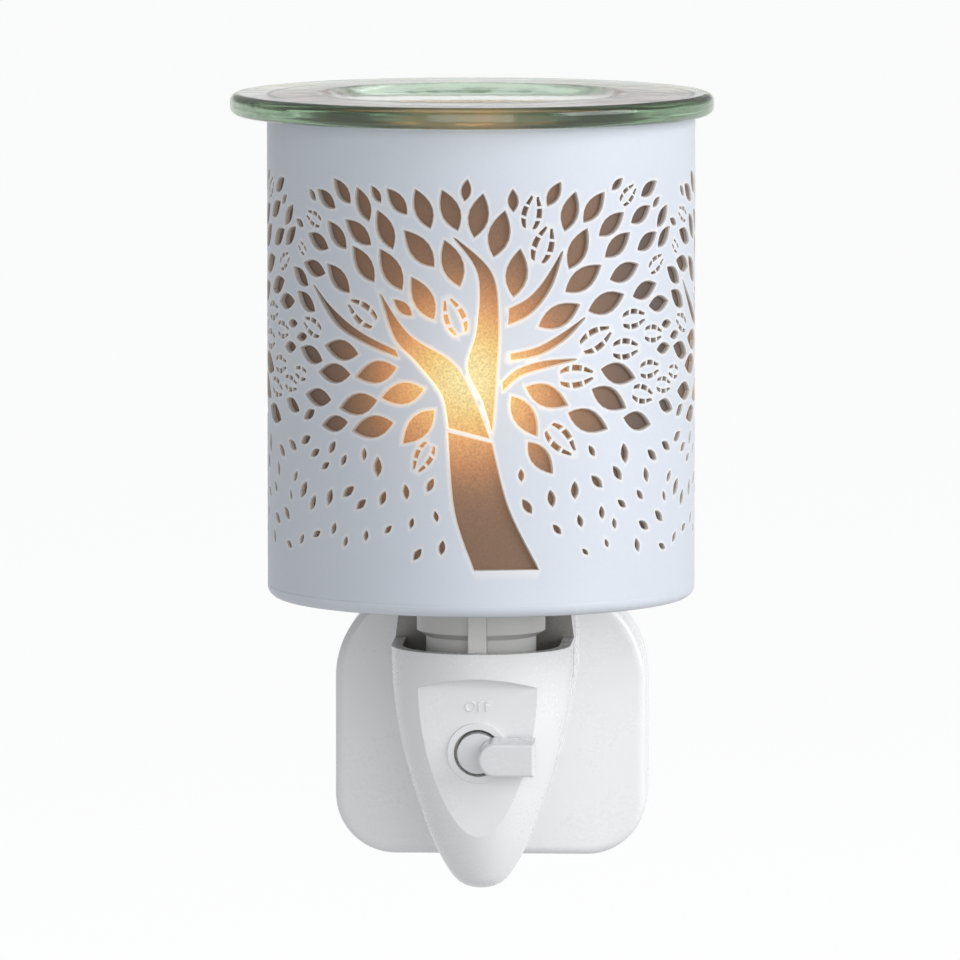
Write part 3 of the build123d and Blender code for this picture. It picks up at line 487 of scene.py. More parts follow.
@dataclass(frozen=True)
class CanPaint(Finish):
    """Satin paint on the shade, with a painted highlight along the laser-cut rims and a painted warm glow
    where the bulb's light would reach them.
    """

    lamp: Lamp
    name: str = "satin_can_paint"
    colour: Colour = (0.70, 0.742, 0.81)
    shade: Colour = (0.665, 0.706, 0.774)
    # painted highlight colour for the cut rims
    rim: Colour = (0.86, 0.85, 0.84)
    warm: Colour = (1.0, 0.66, 0.36)
    roughness: float = 0.42

    def make(self) -> Material:
        """Builds the paint."""
        material, graph, shader = self.start()
        skin = graph.place(moulding_group(), Cloud_Scale=45.0, Grain_Scale=1500.0)
        dust = graph.place(dust_group(), Amount=0.12)
        rim = graph.add("ShaderNodeAttribute", attribute_name="cut_rim").outputs["Fac"]
        colour = graph.mix(skin.outputs["Tone"], rgba(self.shade), rgba(self.colour))
        # Painted highlight: the cut rims turn paler, as if they caught the light.
        colour = graph.mix(graph.times(rim, 0.7), colour, rgba(self.rim))
        colour = graph.mix(dust.outputs["Mask"], colour, rgba(DUST))
        graph.join(colour, shader, "Base Color")
        rough = graph.span(skin.outputs["Tone"], 0.0, 1.0, 1.1 * self.roughness, 0.9 * self.roughness)
        graph.join(rough, shader, "Roughness")
        bump = graph.add("ShaderNodeBump", {"Strength": 0.1, "Distance": SKIN_RELIEF})
        graph.join(skin.outputs["Height"], bump, "Height")
        graph.join(bump.outputs[0], shader, "Normal")
        # Painted glow: the paint gives warm light of its own near the hot spots, most on the rims.
        glow = graph.place(painted_glow_group(), **self.lamp.inputs())
        shader.inputs["Specular IOR Level"].default_value = 0.3
        painted_glow_spill = graph.times(glow.outputs["Glow"], graph.span(rim, 0.0, 1.0, 0.08, 0.4))
        self.paint_glow(graph, shader, rgba(self.warm), painted_glow_spill)
        return material


@dataclass(frozen=True)
class CutEdge(Finish):
    """The cut rim of the shade's wall, darkened as painted shade inside the holes and given a painted glow
    from the bulb.
    """

    lamp: Lamp
    name: str = "cut_edge"
    # dark colours that stand for painted shade in the holes
    colour: Colour = (0.50, 0.47, 0.45)
    shade: Colour = (0.42, 0.39, 0.37)
    warm: Colour = (1.0, 0.70, 0.40)

    def make(self) -> Material:
        """Builds the rim's finish."""
        material, graph, shader = self.start()
        skin = graph.place(moulding_group(), Cloud_Scale=200.0, Grain_Scale=2600.0)
        graph.join(graph.mix(skin.outputs["Tone"], rgba(self.shade), rgba(self.colour)), shader, "Base Color")
        shader.inputs["Roughness"].default_value = 0.5
        glow = graph.place(painted_glow_group(), **self.lamp.inputs())
        # Painted glow: the rim gives warm light of its own near the hot spots.
        painted_edge_glow = graph.span(glow.outputs["Glow"], 0.0, 0.7, 0.02, 0.75)
        self.paint_glow(graph, shader, rgba(self.warm), painted_edge_glow)
        return material


@dataclass(frozen=True)
class AmberSheet(Finish):
    """The speckled diffuser, brown by itself, with a painted glow where the bulb is near each trunk's fork
    and painted shade away from the three hot spots.
    """

    lamp: Lamp
    name: str = "speckled_amber_sheet"
    brown: Colour = (0.20, 0.11, 0.058)
    dark: Colour = (0.118, 0.068, 0.045)
    # painted shade colour away from the hot spots; strength, inside and stops set the painted glow
    far: Colour = (0.065, 0.052, 0.045)
    strength: float = 0.9
    inside: float = 0.4
    stops: tuple = (
        (0.0, (0.045, 0.027, 0.018)),
        (0.10, (0.16, 0.08, 0.038)),
        (0.26, (0.46, 0.19, 0.065)),
        (0.50, (0.80, 0.385, 0.13)),
        (0.76, (0.93, 0.65, 0.20)),
        (1.0, (1.0, 0.90, 0.42)),
    )

    def make(self) -> Material:
        """Builds the sheet."""
        material, graph, shader = self.start()
        flecks = graph.place(speckle_group(), Scale=2400.0).outputs["Mask"]
        # Painted glow: the sheet gives light of its own, brightest at the three hot spots and weaker on its
        # inner face.
        shine = graph.place(painted_glow_group(), **self.lamp.inputs())
        glow = graph.times(shine.outputs["Glow"], graph.span(flecks, 0.0, 1.0, 0.92, 1.06))
        ramp = graph.add("ShaderNodeValToRGB", {0: glow})
        elements = ramp.color_ramp.elements
        elements.remove(elements[1])
        elements[0].color = rgba(self.stops[0][1])
        for spot, colour in self.stops[1:]:
            elements.new(spot).color = rgba(colour)
        dulled = graph.span(flecks, 0.0, 1.0, 0.38, 0.0)
        outer = graph.span(shine.outputs["Outward"], -0.1, 0.1, self.inside, self.strength)
        self.paint_glow(graph, shader, graph.mix(dulled, ramp.outputs[0], rgba(self.dark)), outer)
        near = graph.mix(flecks, rgba(self.dark), rgba(self.brown))
        # Painted shade: the base colour darkens away from the hot spots.
        lobe = graph.mask(shine.outputs["Lobe"], 0.02, 0.4)
        graph.join(graph.mix(lobe, rgba(self.far), near), shader, "Base Color")
        shader.inputs["Roughness"].default_value = 0.6
        return material


@dataclass(frozen=True)
class Glass(Finish):
    """Clear glass with a tint that deepens with its thickness; on the dish, a painted warm glow over the
    shade's hot spots and a faint painted green glow along the rim.
    """

    name: str
    colour: Colour
    tint: Colour = (1.0, 1.0, 1.0)
    density: float = 0.0
    roughness: float = 0.0
    wave: float = 0.03
    rim: Colour | None = None
    axis: Point = (0.0, 0.0)
    reach: float = 0.0
    lamp: Lamp | None = None
    # warm, shine, green and painted_rim_glow set the dish rim's painted glow
    warm: Colour = (0.95, 0.62, 0.26)
    shine: float = 0.16
    green: Colour = (0.46, 0.72, 0.40)
    painted_rim_glow: float = 0.05

    def make(self) -> Material:
        """Builds the glass."""
        material, graph, shader = self.start()
        skin = graph.place(moulding_group(), Cloud_Scale=90.0, Grain_Scale=230.0)
        paler = tuple(0.97 * value for value in self.colour)
        colour = graph.mix(skin.outputs["Tone"], rgba(paler), rgba(self.colour))
        if self.rim:
            near_rim = graph.place(edge_group(), Axis_X=self.axis[0], Axis_Y=self.axis[1], Reach=self.reach)
            edge = near_rim.outputs["Mask"]
            colour = graph.mix(edge, colour, rgba(self.rim))
        # Painted glow: the rim turns amber and gives warm light over each hot spot, and its whole edge gives
        # faint green light.
        if self.rim and self.lamp:
            lobe = graph.place(painted_glow_group(), **self.lamp.inputs()).outputs["Lobe"]
            near = graph.math("POWER", graph.times(graph.mask(lobe, 0.72, 1.0), edge), 1.6)
            near = graph.times(near, graph.span(skin.outputs["Tone"], 0.2, 0.8, 0.45, 1.0))
            colour = graph.mix(graph.times(near, 0.75), colour, rgba(self.warm))
            amount = graph.math("MULTIPLY_ADD", near, self.shine, graph.times(edge, self.painted_rim_glow))
            self.paint_glow(graph, shader, graph.mix(near, rgba(self.green), rgba(self.warm)), amount)
        graph.join(colour, shader, "Base Color")
        shader.inputs["Roughness"].default_value = self.roughness
        shader.inputs["Transmission Weight"].default_value = 1.0
        shader.inputs["IOR"].default_value = GLASS_IOR
        wave = graph.add("ShaderNodeBump", {"Strength": self.wave, "Distance": GLASS_RELIEF})
        graph.join(skin.outputs["Tone"], wave, "Height")
        graph.join(wave.outputs[0], shader, "Normal")
        if self.density:
            absorbed = {"Color": rgba(self.tint), "Density": self.density}
            inside = graph.add("ShaderNodeVolumeAbsorption", absorbed)
            output = next(node for node in graph.tree.nodes if node.type == "OUTPUT_MATERIAL")
            graph.join(inside.outputs[0], output, "Volume")
        return material


@dataclass(frozen=True)
class HotCoil(Finish):
    """The hot filament."""

    name: str = "hot_coil"
    colour: Colour = (1.0, 0.72, 0.3)
    shade: Colour = (1.0, 0.5, 0.15)
    strength: float = 6.0

    def make(self) -> Material:
        """Builds the coil's finish."""
        material, graph, shader = self.start()
        skin = graph.place(moulding_group(), Cloud_Scale=900.0, Grain_Scale=4000.0)
        colour = graph.mix(skin.outputs["Tone"], rgba(self.shade), rgba(self.colour))
        graph.join(colour, shader, "Emission Color")
        shader.inputs["Emission Strength"].default_value = self.strength
        return material


MADE: dict[str, Material] = {}
UNLIT: Colour = (0.0, 0.0, 0.0)
DUST: Colour = (0.62, 0.61, 0.58)
# painted shade colour for faces that look down
UNDERSIDE_SHADE: Colour = (0.11, 0.105, 0.10)
WHITE = Skin(
    "glossy_white", (0.895, 0.90, 0.91), (0.875, 0.88, 0.89), 0.28, coat=0.25, bump=0.008, edge=0.2 * MM
)
# The knob is the housing's white, darkened as painted shade.
KNOB_PAINTED_SHADE = replace(WHITE, name="glossy_white_knob_painted_shade", colour=(0.80, 0.805, 0.82), shade=(0.775, 0.78, 0.795))
HOLDER = Skin("satin_white", (0.80, 0.80, 0.78), (0.76, 0.76, 0.74), 0.4)
PLATED = Skin("bright_plate", (0.70, 0.69, 0.66), (0.60, 0.59, 0.57), 0.25, metallic=1.0, edge=0.1 * MM)
BRASS = Skin("bright_brass", (0.80, 0.60, 0.28), (0.68, 0.49, 0.21), 0.28, metallic=1.0, edge=0.15 * MM)
SOLDER = Skin("dull_solder", (0.62, 0.62, 0.62), (0.48, 0.48, 0.49), 0.45, metallic=1.0)
BEAD = Skin("black_glass_bead", (0.02, 0.02, 0.025), (0.01, 0.01, 0.012), 0.15)
SLEEVE = Skin("black_sleeve", (0.02, 0.02, 0.022), (0.012, 0.012, 0.014), 0.5)
SWITCH = Skin("switch_moulding", (0.78, 0.76, 0.70), (0.70, 0.68, 0.62), 0.5)
BROWN_WIRE = Skin("brown_insulation", (0.16, 0.06, 0.025), (0.11, 0.04, 0.02), 0.45)
BLUE_WIRE = Skin("blue_insulation", (0.03, 0.10, 0.42), (0.02, 0.07, 0.32), 0.45)
# the shade floor carries painted shade on its underside
FLOOR_PAINT = Skin("floor_paint", (0.70, 0.742, 0.81), (0.665, 0.706, 0.774), 0.42, bump=0.1, under=0.85)


# Tree pattern


@dataclass(frozen=True)
class Leaf:
    """One leaf on the unrolled wall, in millimetres and degrees."""

    u: float
    v: float
    turn: float
    length: float
    veined: bool


def smooth(points: Sequence[Point], steps: int) -> list[Point]:
    """A Catmull-Rom curve through points.

    Args:
        points: the points to pass through, in order.
        steps: pieces between each two points.

    Returns:
        Points along the curve, both ends included.
    """
    ends = [points[0], *points, points[-1]]
    curve: list[Point] = []
    for a, b, c, d in zip(ends, ends[1:], ends[2:], ends[3:]):
        for k in range(steps):
            t = k / steps
            curve.append(tuple(
                0.5 * (2 * b[i] + (c[i] - a[i]) * t + (2 * a[i] - 5 * b[i] + 4 * c[i] - d[i]) * t * t
                       + (3 * b[i] - a[i] - 3 * c[i] + d[i]) * t ** 3)
                for i in (0, 1)))
    return [*curve, tuple(points[-1])]


def widened(loop: Sequence[Point], by: float) -> list[Point]:
    """A closed loop, counter-clockwise, moved outwards with its corners held short.

    Args:
        loop: the loop's points.
        by: how far it moves.

    Returns:
        The moved points, in the same order.
    """
    moved = []
    for before, here, after in zip((loop[-1], *loop[:-1]), loop, (*loop[1:], loop[0])):
        first = Vector((here[1] - before[1], before[0] - here[0])).normalized()
        second = Vector((after[1] - here[1], here[0] - after[0])).normalized()
        total = first + second
        reach = min(2.0 / max(total.length_squared, 1e-6), 1.1)
        moved.append((here[0] + by * reach * total.x, here[1] + by * reach * total.y))
    return moved


def area(loop: Sequence[Point]) -> float:
    """Signed area of a loop, positive if counter-clockwise."""
    return 0.5 * sum(a[0] * b[1] - b[0] * a[1] for a, b in zip(loop, (*loop[1:], loop[0])))


class Crowd:
    """Discs already placed on the unrolled wall, found by cell, with u going round."""

    def __init__(self, pitch: float, cell: float = 2.6) -> None:
        """Makes an empty crowd.

        Args:
            pitch: length of the wall that repeats, in millimetres.
            cell: about how large a cell is.
        """
        self.columns = round(pitch / cell)
        self.cell = pitch / self.columns
        self.pitch = pitch
        self.held: dict[Cell, list[Disc]] = {}

    def cells(self, u: float, v: float, reach: float) -> Iterator[Cell]:
        """The cells within reach of a point."""
        low_u, high_u = (math.floor((u + way * reach) / self.cell) for way in (-1, 1))
        low_v, high_v = (math.floor((v + way * reach) / self.cell) for way in (-1, 1))
        for i in range(low_u, high_u + 1):
            for j in range(low_v, high_v + 1):
                yield i % self.columns, j

    def add(self, discs: Sequence[Disc]) -> None:
        """Places discs."""
        for u, v, r in discs:
            for cell in self.cells(u, v, r):
                self.held.setdefault(cell, []).append((u, v, r))

    def is_clear(self, discs: Sequence[Disc], web: float) -> bool:
        """Whether discs keep a web of steel to everything placed."""
        half = self.pitch / 2
        for u, v, r in discs:
            for cell in self.cells(u, v, r + web):
                for other_u, other_v, other_r in self.held.get(cell, ()):
                    across = (u - other_u + half) % self.pitch - half
                    if math.hypot(across, v - other_v) < r + other_r + web:
                        return False
        return True


@dataclass
class TreePattern:
    """A leafy tree on the unrolled wall: u runs round the can and v up from its foot, in millimetres."""

    pitch: float
    web: float = 0.95
    crown: Point = (0.4, 42.7)
    fan: Point = (-58.0, 238.0)
    crown_low: float = 27.0
    crown_rise: float = 0.26
    crown_high: float = 76.0
    ring_first: float = 7.5
    ring_step: float = 1.5
    rings: int = 26
    try_pitch: float = 1.6
    leaf_long: float = 8.2
    leaf_short: float = 4.6
    leaf_slim: float = 0.45
    passes: tuple[float, ...] = (1.0, 0.84, 0.68, 0.52)
    lean: float = 14.0
    vein: float = 0.8
    veined_every: int = 4
    veined_least: float = 3.3
    inset: float = 0.56
    fringe: Point = (10.0, 37.0)
    fringe_tries: int = 170

    def limbs(self) -> list[Sides]:
        """The trunk and limbs, as two sides each from base to tip."""
        return [
            ([(-1.2, 8.4), (-4.6, 18.5), (-5.8, 32.2)], [(10.0, 8.4), (4.7, 19.0), (1.8, 30.3)]),
            ([(-5.7, 33.0), (-6.9, 38.7), (-11.4, 44.2), (-15.6, 48.4), (-18.2, 56.0)],
             [(1.4, 31.2), (-1.1, 37.6), (-5.0, 44.2), (-12.8, 49.0), (-18.2, 56.0)]),
            ([(1.9, 32.4), (0.3, 37.6), (-2.3, 43.4), (-0.7, 50.0), (-0.5, 59.5), (-4.8, 66.0)],
             [(1.9, 32.4), (2.3, 37.6), (2.7, 43.4), (3.0, 51.5), (1.7, 59.9), (-4.8, 66.0)]),
            ([(-14.6, 44.9), (-22.3, 47.6), (-28.0, 50.6), (-33.3, 56.8)],
             [(-15.3, 46.2), (-22.6, 49.2), (-28.6, 52.9), (-33.3, 56.8)]),
            ([(4.7, 50.8), (8.8, 52.9), (12.3, 57.3), (14.5, 63.5)],
             [(4.9, 53.6), (8.2, 55.3), (11.1, 58.3), (14.5, 63.5)]),
            ([(5.2, 44.7), (10.2, 45.6), (15.0, 48.2), (18.8, 51.8)],
             [(5.1, 45.8), (9.8, 46.8), (14.2, 49.0), (18.8, 51.8)]),
            ([(3.8, 39.4), (6.7, 41.9), (11.2, 43.3), (17.2, 44.6)],
             [(3.7, 40.9), (6.4, 43.1), (11.0, 44.4), (17.2, 44.6)]),
        ]

    def limb_loop(self, sides: Sides) -> list[Point]:
        """One limb's closed outline, counter-clockwise."""
        left, right = (smooth(side, 7) for side in sides)
        loop = [*right, *reversed(left)]
        clean = [p for p, q in zip(loop, (loop[-1], *loop[:-1])) if math.dist(p, q) > 0.02]
        return clean if area(clean) > 0 else clean[::-1]

    def limb_discs(self, sides: Sides) -> list[Disc]:
        """Discs that stand for a limb when leaves are kept clear of it."""
        pairs = zip(smooth(sides[0], 9), smooth(sides[1], 9))
        return [((a[0] + b[0]) / 2, (a[1] + b[1]) / 2, math.dist(a, b) / 2) for a, b in pairs]

    def half_width(self, length: float, share: float) -> float:
        """Half a leaf's width at a share of its length, from -1 at its stalk to 1 at its tip."""
        return 0.5 * self.leaf_slim * length * (1 - share * share) * (1 - 0.12 * share)

    def leaf_discs(self, leaf: Leaf) -> list[Disc]:
        """Discs that stand for a leaf when its neighbours are kept clear of it."""
        cos, sin = math.cos(math.radians(leaf.turn)), math.sin(math.radians(leaf.turn))
        half = leaf.length / 2
        shares = (-0.96, -0.75, -0.4, 0.0, 0.4, 0.75, 0.96)
        return [
            (leaf.u + s * half * cos, leaf.v + s * half * sin, self.half_width(leaf.length, s))
            for s in shares
        ]

    def crown_offers(self) -> Iterator[Offer]:
        """Places to try for the crown's leaves, the largest first, ring by ring.

        Yields:
            A leaf's u and v, its turn, its length and the web to keep.
        """
        sweep = self.fan[1] - self.fan[0]
        for share in self.passes:
            for row in range(self.rings):
                radius = self.ring_first + row * self.ring_step
                outward = max(0.0, row / (self.rings - 1) - 0.4) / 0.6
                length = share * (self.leaf_long + (self.leaf_short - self.leaf_long) * outward)
                count = round(math.radians(sweep) * radius / self.try_pitch)
                for k in range(count):
                    turn = self.fan[0] + sweep * ((k + row * GOLDEN) % count) / count
                    u = self.crown[0] + radius * math.cos(math.radians(turn))
                    v = self.crown[1] + radius * math.sin(math.radians(turn))
                    low = self.crown_low + self.crown_rise * max(0.0, abs(u) - 8.0)
                    if low < v < self.crown_high - length / 2 and abs(u) < self.pitch / 2:
                        yield u, v, turn + self.lean * math.sin(5.1 * row + 2.3 * k), length, self.web

    def fringe_offers(self) -> Iterator[Offer]:
        """Places to try for the small leaves that fall under the crown.

        Yields:
            A leaf's u and v, its turn, its length and the web to keep.
        """
        for k in range(self.fringe_tries):
            fall = k / self.fringe_tries
            u = self.pitch * ((k * GOLDEN) % 1 - 0.5)
            v = self.fringe[1] + (self.fringe[0] - self.fringe[1]) * fall
            length = (4.1 - 1.7 * fall) * (0.55 + 0.45 * ((k * 0.7549) % 1))
            yield u, v, 90 + 1.2 * u + 24 * math.sin(2.9 * k), length, 1.3 + 1.1 * fall

    def leaves(self) -> list[Leaf]:
        """All leaves of one tree that keep clear of its limbs and of each other."""
        crowd = Crowd(self.pitch)
        for sides in self.limbs():
            crowd.add(self.limb_discs(sides))
        found: list[Leaf] = []
        for u, v, turn, length, web in chain(self.crown_offers(), self.fringe_offers()):
            veined = length > self.veined_least and len(found) % self.veined_every == 1
            leaf = Leaf(u, v, turn, length, veined)
            discs = self.leaf_discs(leaf)
            if crowd.is_clear(discs, web):
                crowd.add(discs)
                found.append(leaf)
        return found

    def veined_loops(self, length: float) -> Iterator[list[Point]]:
        """The small windows of a veined leaf that lies along u at the origin."""
        half, rib = length / 2, self.vein / 2
        large = ((-0.66, -0.28), (-0.1, 0.3), (0.46, 0.84))
        small = ((-0.62, -0.1), (0.18, 0.72))
        for low, high in large if length > 5 else small:
            shares = [low + (high - low) * k / 3 for k in range(4)]
            widths = [max(self.half_width(length, s) + 0.1, rib + 0.25) for s in shares]
            for way in (1, -1):
                outer = [(half * s, way * width) for s, width in zip(shares, widths)]
                inner = [
                    (half * (s - 0.04), way * max(rib, self.inset * width))
                    for s, width in zip(shares, widths)
                ]
                yield [*outer, *reversed(inner)]

    def plain_loop(self, length: float) -> list[Point]:
        """The outline of a plain leaf that lies along u at the origin."""
        count = 9 if length > self.veined_least else 6
        shares = [-math.cos(math.pi * k / count) for k in range(count + 1)]
        upper = [(length / 2 * s, self.half_width(length, s)) for s in shares]
        return [*upper, *((x, -y) for x, y in reversed(upper[1:-1]))]

    def leaf_loops(self, leaf: Leaf) -> list[list[Point]]:
        """The closed outlines that are cut for one leaf, counter-clockwise."""
        loops = list(self.veined_loops(leaf.length)) if leaf.veined else [self.plain_loop(leaf.length)]
        cos, sin = math.cos(math.radians(leaf.turn)), math.sin(math.radians(leaf.turn))
        placed = [
            [(leaf.u + x * cos - y * sin, leaf.v + x * sin + y * cos) for x, y in loop] for loop in loops
        ]
        return [loop if area(loop) > 0 else loop[::-1] for loop in placed]

    def loops(self) -> list[list[Point]]:
        """Every outline that is cut for one tree."""
        cuts = [self.limb_loop(sides) for sides in self.limbs()]
        for leaf in self.leaves():
            cuts += self.leaf_loops(leaf)
        return cuts


# Pieces


def dress(finish: Finish, *nodes: str) -> None:
    """Gives CAD nodes one finish.

    Args:
        finish: what they are finished in.
        nodes: their names.
    """
    for node in nodes:
        slots = frame["nodes"][node].data.materials
        slots.clear()
        slots.append(finish.material())
    LOG.info("%s: %s", finish.name, ", ".join(nodes))


def linked(name: str, data: Any) -> Object:
    """A new object in the scene.

    Args:
        name: its name.
        data: its mesh, light or camera.

    Returns:
        The object.
    """
    made = bpy.data.objects.new(name, data)
    bpy.context.scene.collection.objects.link(made)
    return made


@dataclass
class WallPlan:
    """The unrolled wall as points: the holes' rims first, then the border, then the rest.

    The outer face has its points in spots. The inner face has them in source, where holes keep their
    true outline.
    """

    spots: list[Point]
    source: list[Point]
    holes: list[list[int]]
    border: dict[Cell, int]
    columns: int
    rows: int

    def __post_init__(self) -> None:
        """Counts the points and pairs those that meet at the seam."""
        self.count = len(self.spots)
        self.rim_count = sum(len(hole) for hole in self.holes)
        self.seam = {self.border[self.columns, r]: self.border[0, r] for r in range(self.rows + 1)}

    def rolled(self, number: int) -> int:
        """A point's number once the seam is closed."""
        return self.seam.get(number, number)

    def ring(self) -> list[int]:
        """The border's points in order, counter-clockwise."""
        last, top = self.columns, self.rows
        cells = [(c, 0) for c in range(last + 1)] + [(last, r) for r in range(1, top + 1)]
        cells += [(c, top) for c in range(last - 1, -1, -1)] + [(0, r) for r in range(top - 1, 0, -1)]
        return [self.border[cell] for cell in cells]

    def sheet(self) -> list[tuple[int, ...]]:
        """The faces between the holes, with the seam closed."""
        ring = self.ring()
        edges = list(zip(ring, ring[1:] + ring[:1]))
        spots = [Vector(spot) for spot in self.spots]
        _, _, faces, origin, _, in_hole = delaunay_2d_cdt(spots, edges, self.holes, 0, 1e-5, True)
        back = {k: ids[0] for k, ids in enumerate(origin) if ids}
        return [tuple(self.rolled(back[k]) for k in face) for face, ids in zip(faces, in_hole) if not ids]

    def rims(self) -> Iterator[tuple[int, ...]]:
        """The faces round each hole: a broken edge, then the cut itself."""
        inner, middle = self.count, 2 * self.count
        for hole in self.holes:
            for a, b in zip(hole, hole[1:] + hole[:1]):
                yield a, b, b + middle, a + middle
                yield a + middle, b + middle, b + inner, a + inner

    def ends(self) -> Iterator[tuple[int, ...]]:
        """The faces along the wall's foot and top."""
        for c in range(self.columns):
            for row, cells in ((0, (c + 1, c)), (self.rows, (c, c + 1))):
                a, b = (self.rolled(self.border[k, row]) for k in cells)
                yield a, b, b + self.count, a + self.count


@dataclass
class ShadeWall:
    """The rolled wall of the shade with its trees cut through, each rim softly broken."""

    lamp: Lamp
    wall: float = 0.8
    first_tree: float = 2.0
    rim: float = 0.2
    rim_share: float = 0.12
    halo: float = 0.8
    grid_u: float = 2.6
    grid_v: float = 4.1
    grid_clear: float = 0.9
    seam_clear: float = 1.0
    edge_clear: float = 0.5

    def __post_init__(self) -> None:
        """Reads the wall's place from the frame, in millimetres."""
        low, high = (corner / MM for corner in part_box("shade_wall"))
        self.radius = (high.x - low.x) / 2
        self.axis_y = (high.y + low.y) / 2
        self.can_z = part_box("shade_floor")[0].z / MM
        self.low_v = low.z - self.can_z
        self.high_v = high.z - self.can_z
        self.round = 2 * math.pi * self.radius

    def cuts(self) -> list[list[Point]]:
        """Every cut outline round the can, kept clear of the seam at the back."""
        pattern = TreePattern(self.round / TREES)
        cuts = pattern.loops()
        loops = []
        for tree in range(TREES):
            for loop in cuts:
                shift = self.first_tree + (tree - (TREES - 1) / 2) * pattern.pitch
                if loop[0][0] + shift > self.round / 2:
                    shift -= self.round
                moved = [(u + shift, v) for u, v in loop]
                if max(abs(u) for u, v in moved) < self.round / 2 - self.seam_clear:
                    loops.append(moved)
        return loops

    def rim_of(self, loop: Sequence[Point]) -> float:
        """How wide a hole's broken edge is: less on a small hole."""
        return min(self.rim, self.rim_share * math.sqrt(area(loop)))

    def on_wall(self, u: float, v: float, depth: float) -> Vector:
        """A point of the wall, in metres.

        Args:
            u: way round from the front, in millimetres.
            v: height above the can's foot, in millimetres.
            depth: how far under the outer face, in millimetres.

        Returns:
            The point in the frame.
        """
        turn, radius = u / self.radius, self.radius - depth
        return MM * Vector((radius * math.sin(turn), self.axis_y - radius * math.cos(turn), self.can_z + v))

    def plan(self) -> WallPlan:
        """Lays the wall's points out flat: rims, border, a halo round each hole and a loose grid."""
        cuts = self.cuts()
        rims = [widened(loop, self.rim_of(loop)) for loop in cuts]
        starts = accumulate((len(rim) for rim in rims), initial=0)
        holes = [list(range(start, start + len(rim))) for start, rim in zip(starts, rims)]
        spots = list(chain.from_iterable(rims))
        taken = KDTree(len(spots))
        for number, (u, v) in enumerate(spots):
            taken.insert((u, v, 0), number)
        taken.balance()
        low, high = self.low_v, self.high_v
        extra = [
            (u, v)
            for loop in cuts
            for u, v in widened(loop, self.halo)
            if taken.find((u, v, 0))[2] > 0.7 * (self.halo - self.rim)
            and low + self.edge_clear < v < high - self.edge_clear
        ]
        columns, rows = round(self.round / self.grid_u), round((high - low) / self.grid_v)
        border: dict[Cell, int] = {}
        edge: list[Point] = []
        for column in range(columns + 1):
            for row in range(rows + 1):
                spot = (self.round * (column / columns - 0.5), low + (high - low) * row / rows)
                if column in (0, columns) or row in (0, rows):
                    border[column, row] = len(spots) + len(edge)
                    edge.append(spot)
                elif taken.find((*spot, 0))[2] > self.grid_clear:
                    extra.append(spot)
        source = [*chain.from_iterable(cuts), *edge, *extra]
        return WallPlan([*spots, *edge, *extra], source, holes, border, columns, rows)

    def build(self) -> Object:
        """Builds the wall and lets it stand for the CAD wall.

        Returns:
            The wall's object.
        """
        plan = self.plan()
        wall = linked("shade_wall_cut", self.solid(plan))
        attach(wall, BASE_BODY)
        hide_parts("shade_wall")
        LOG.info("cut %d openings, %d faces", len(plan.holes), len(wall.data.polygons))
        return wall

    def solid(self, plan: WallPlan) -> Mesh:
        """Turns the flat plan into a closed wall with thickness.

        Args:
            plan: the unrolled wall.

        Returns:
            The wall's mesh, with its finishes and a mask of its rims.
        """
        count = plan.count
        points = [self.on_wall(u, v, 0.0) for u, v in plan.spots]
        points += [self.on_wall(u, v, self.wall) for u, v in plan.source]
        points += [self.on_wall(u, v, self.rim) for u, v in plan.source[:plan.rim_count]]
        sheet = plan.sheet()
        faces = [*sheet, *(tuple(k + count for k in reversed(face)) for face in sheet)]
        skin = len(faces)
        faces += plan.rims()
        cut_end = len(faces)
        faces += plan.ends()
        used = sorted({k for face in faces for k in face})
        place = {k: n for n, k in enumerate(used)}
        mesh = bpy.data.meshes.new("shade_wall_cut")
        mesh.from_pydata([points[k] for k in used], [], [tuple(place[k] for k in face) for face in faces])
        mesh.materials.append(CanPaint(self.lamp).material())
        mesh.materials.append(CutEdge(self.lamp).material())
        for face in mesh.polygons:
            face.use_smooth = True
            face.material_index = 1 if skin <= face.index < cut_end else 0
        # cut_rim marks the rim points that get the paint's painted highlight and stronger painted glow
        mask = mesh.attributes.new("cut_rim", "FLOAT", "POINT")
        on_rim = [float(k >= 2 * count or k % count < plan.rim_count) for k in used]
        mask.data.foreach_set("value", on_rim)
        self.set_normals(mesh, skin)
        return mesh

    def set_normals(self, mesh: Mesh, skin: int) -> None:
        """Gives the rolled faces true round normals and leaves the cut rims flat.

        Args:
            mesh: the wall's mesh.
            skin: number of faces of the outer and inner skin.
        """
        normals: list[Vector] = [Vector((0, 0, 1))] * len(mesh.loops)
        for face in mesh.polygons:
            outward = 1.0 if face.index < skin // 2 else -1.0
            for loop in face.loop_indices:
                if face.index < skin:
                    at = mesh.vertices[mesh.loops[loop].vertex_index].co
                    normals[loop] = outward * Vector((at.x, at.y - self.axis_y * MM, 0)).normalized()
                else:
                    normals[loop] = face.normal
        mesh.normals_split_custom_set(normals)


def lamp_place(lift: float = 5 * MM) -> Lamp:
    """Where the bulb's painted glow shows through the shade.

    Args:
        lift: how far the brightest place is above the globe's middle.

    Returns:
        The lamp's axis and height.
    """
    low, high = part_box("bulb_glass")
    middle = high.z - (high.x - low.x) / 2
    return Lamp((low.y + high.y) / 2, middle + lift)


@dataclass
class Shade:
    """The shade: the cut wall, the floor, the diffuser and the grip ring."""

    def build(self) -> None:
        """Builds the wall and dresses the rest."""
        lamp = lamp_place()
        ShadeWall(lamp).build()
        dress(FLOOR_PAINT, "shade_floor")
        dress(AmberSheet(lamp), "diffuser_liner")
        dress(HOLDER, "shade_ring")


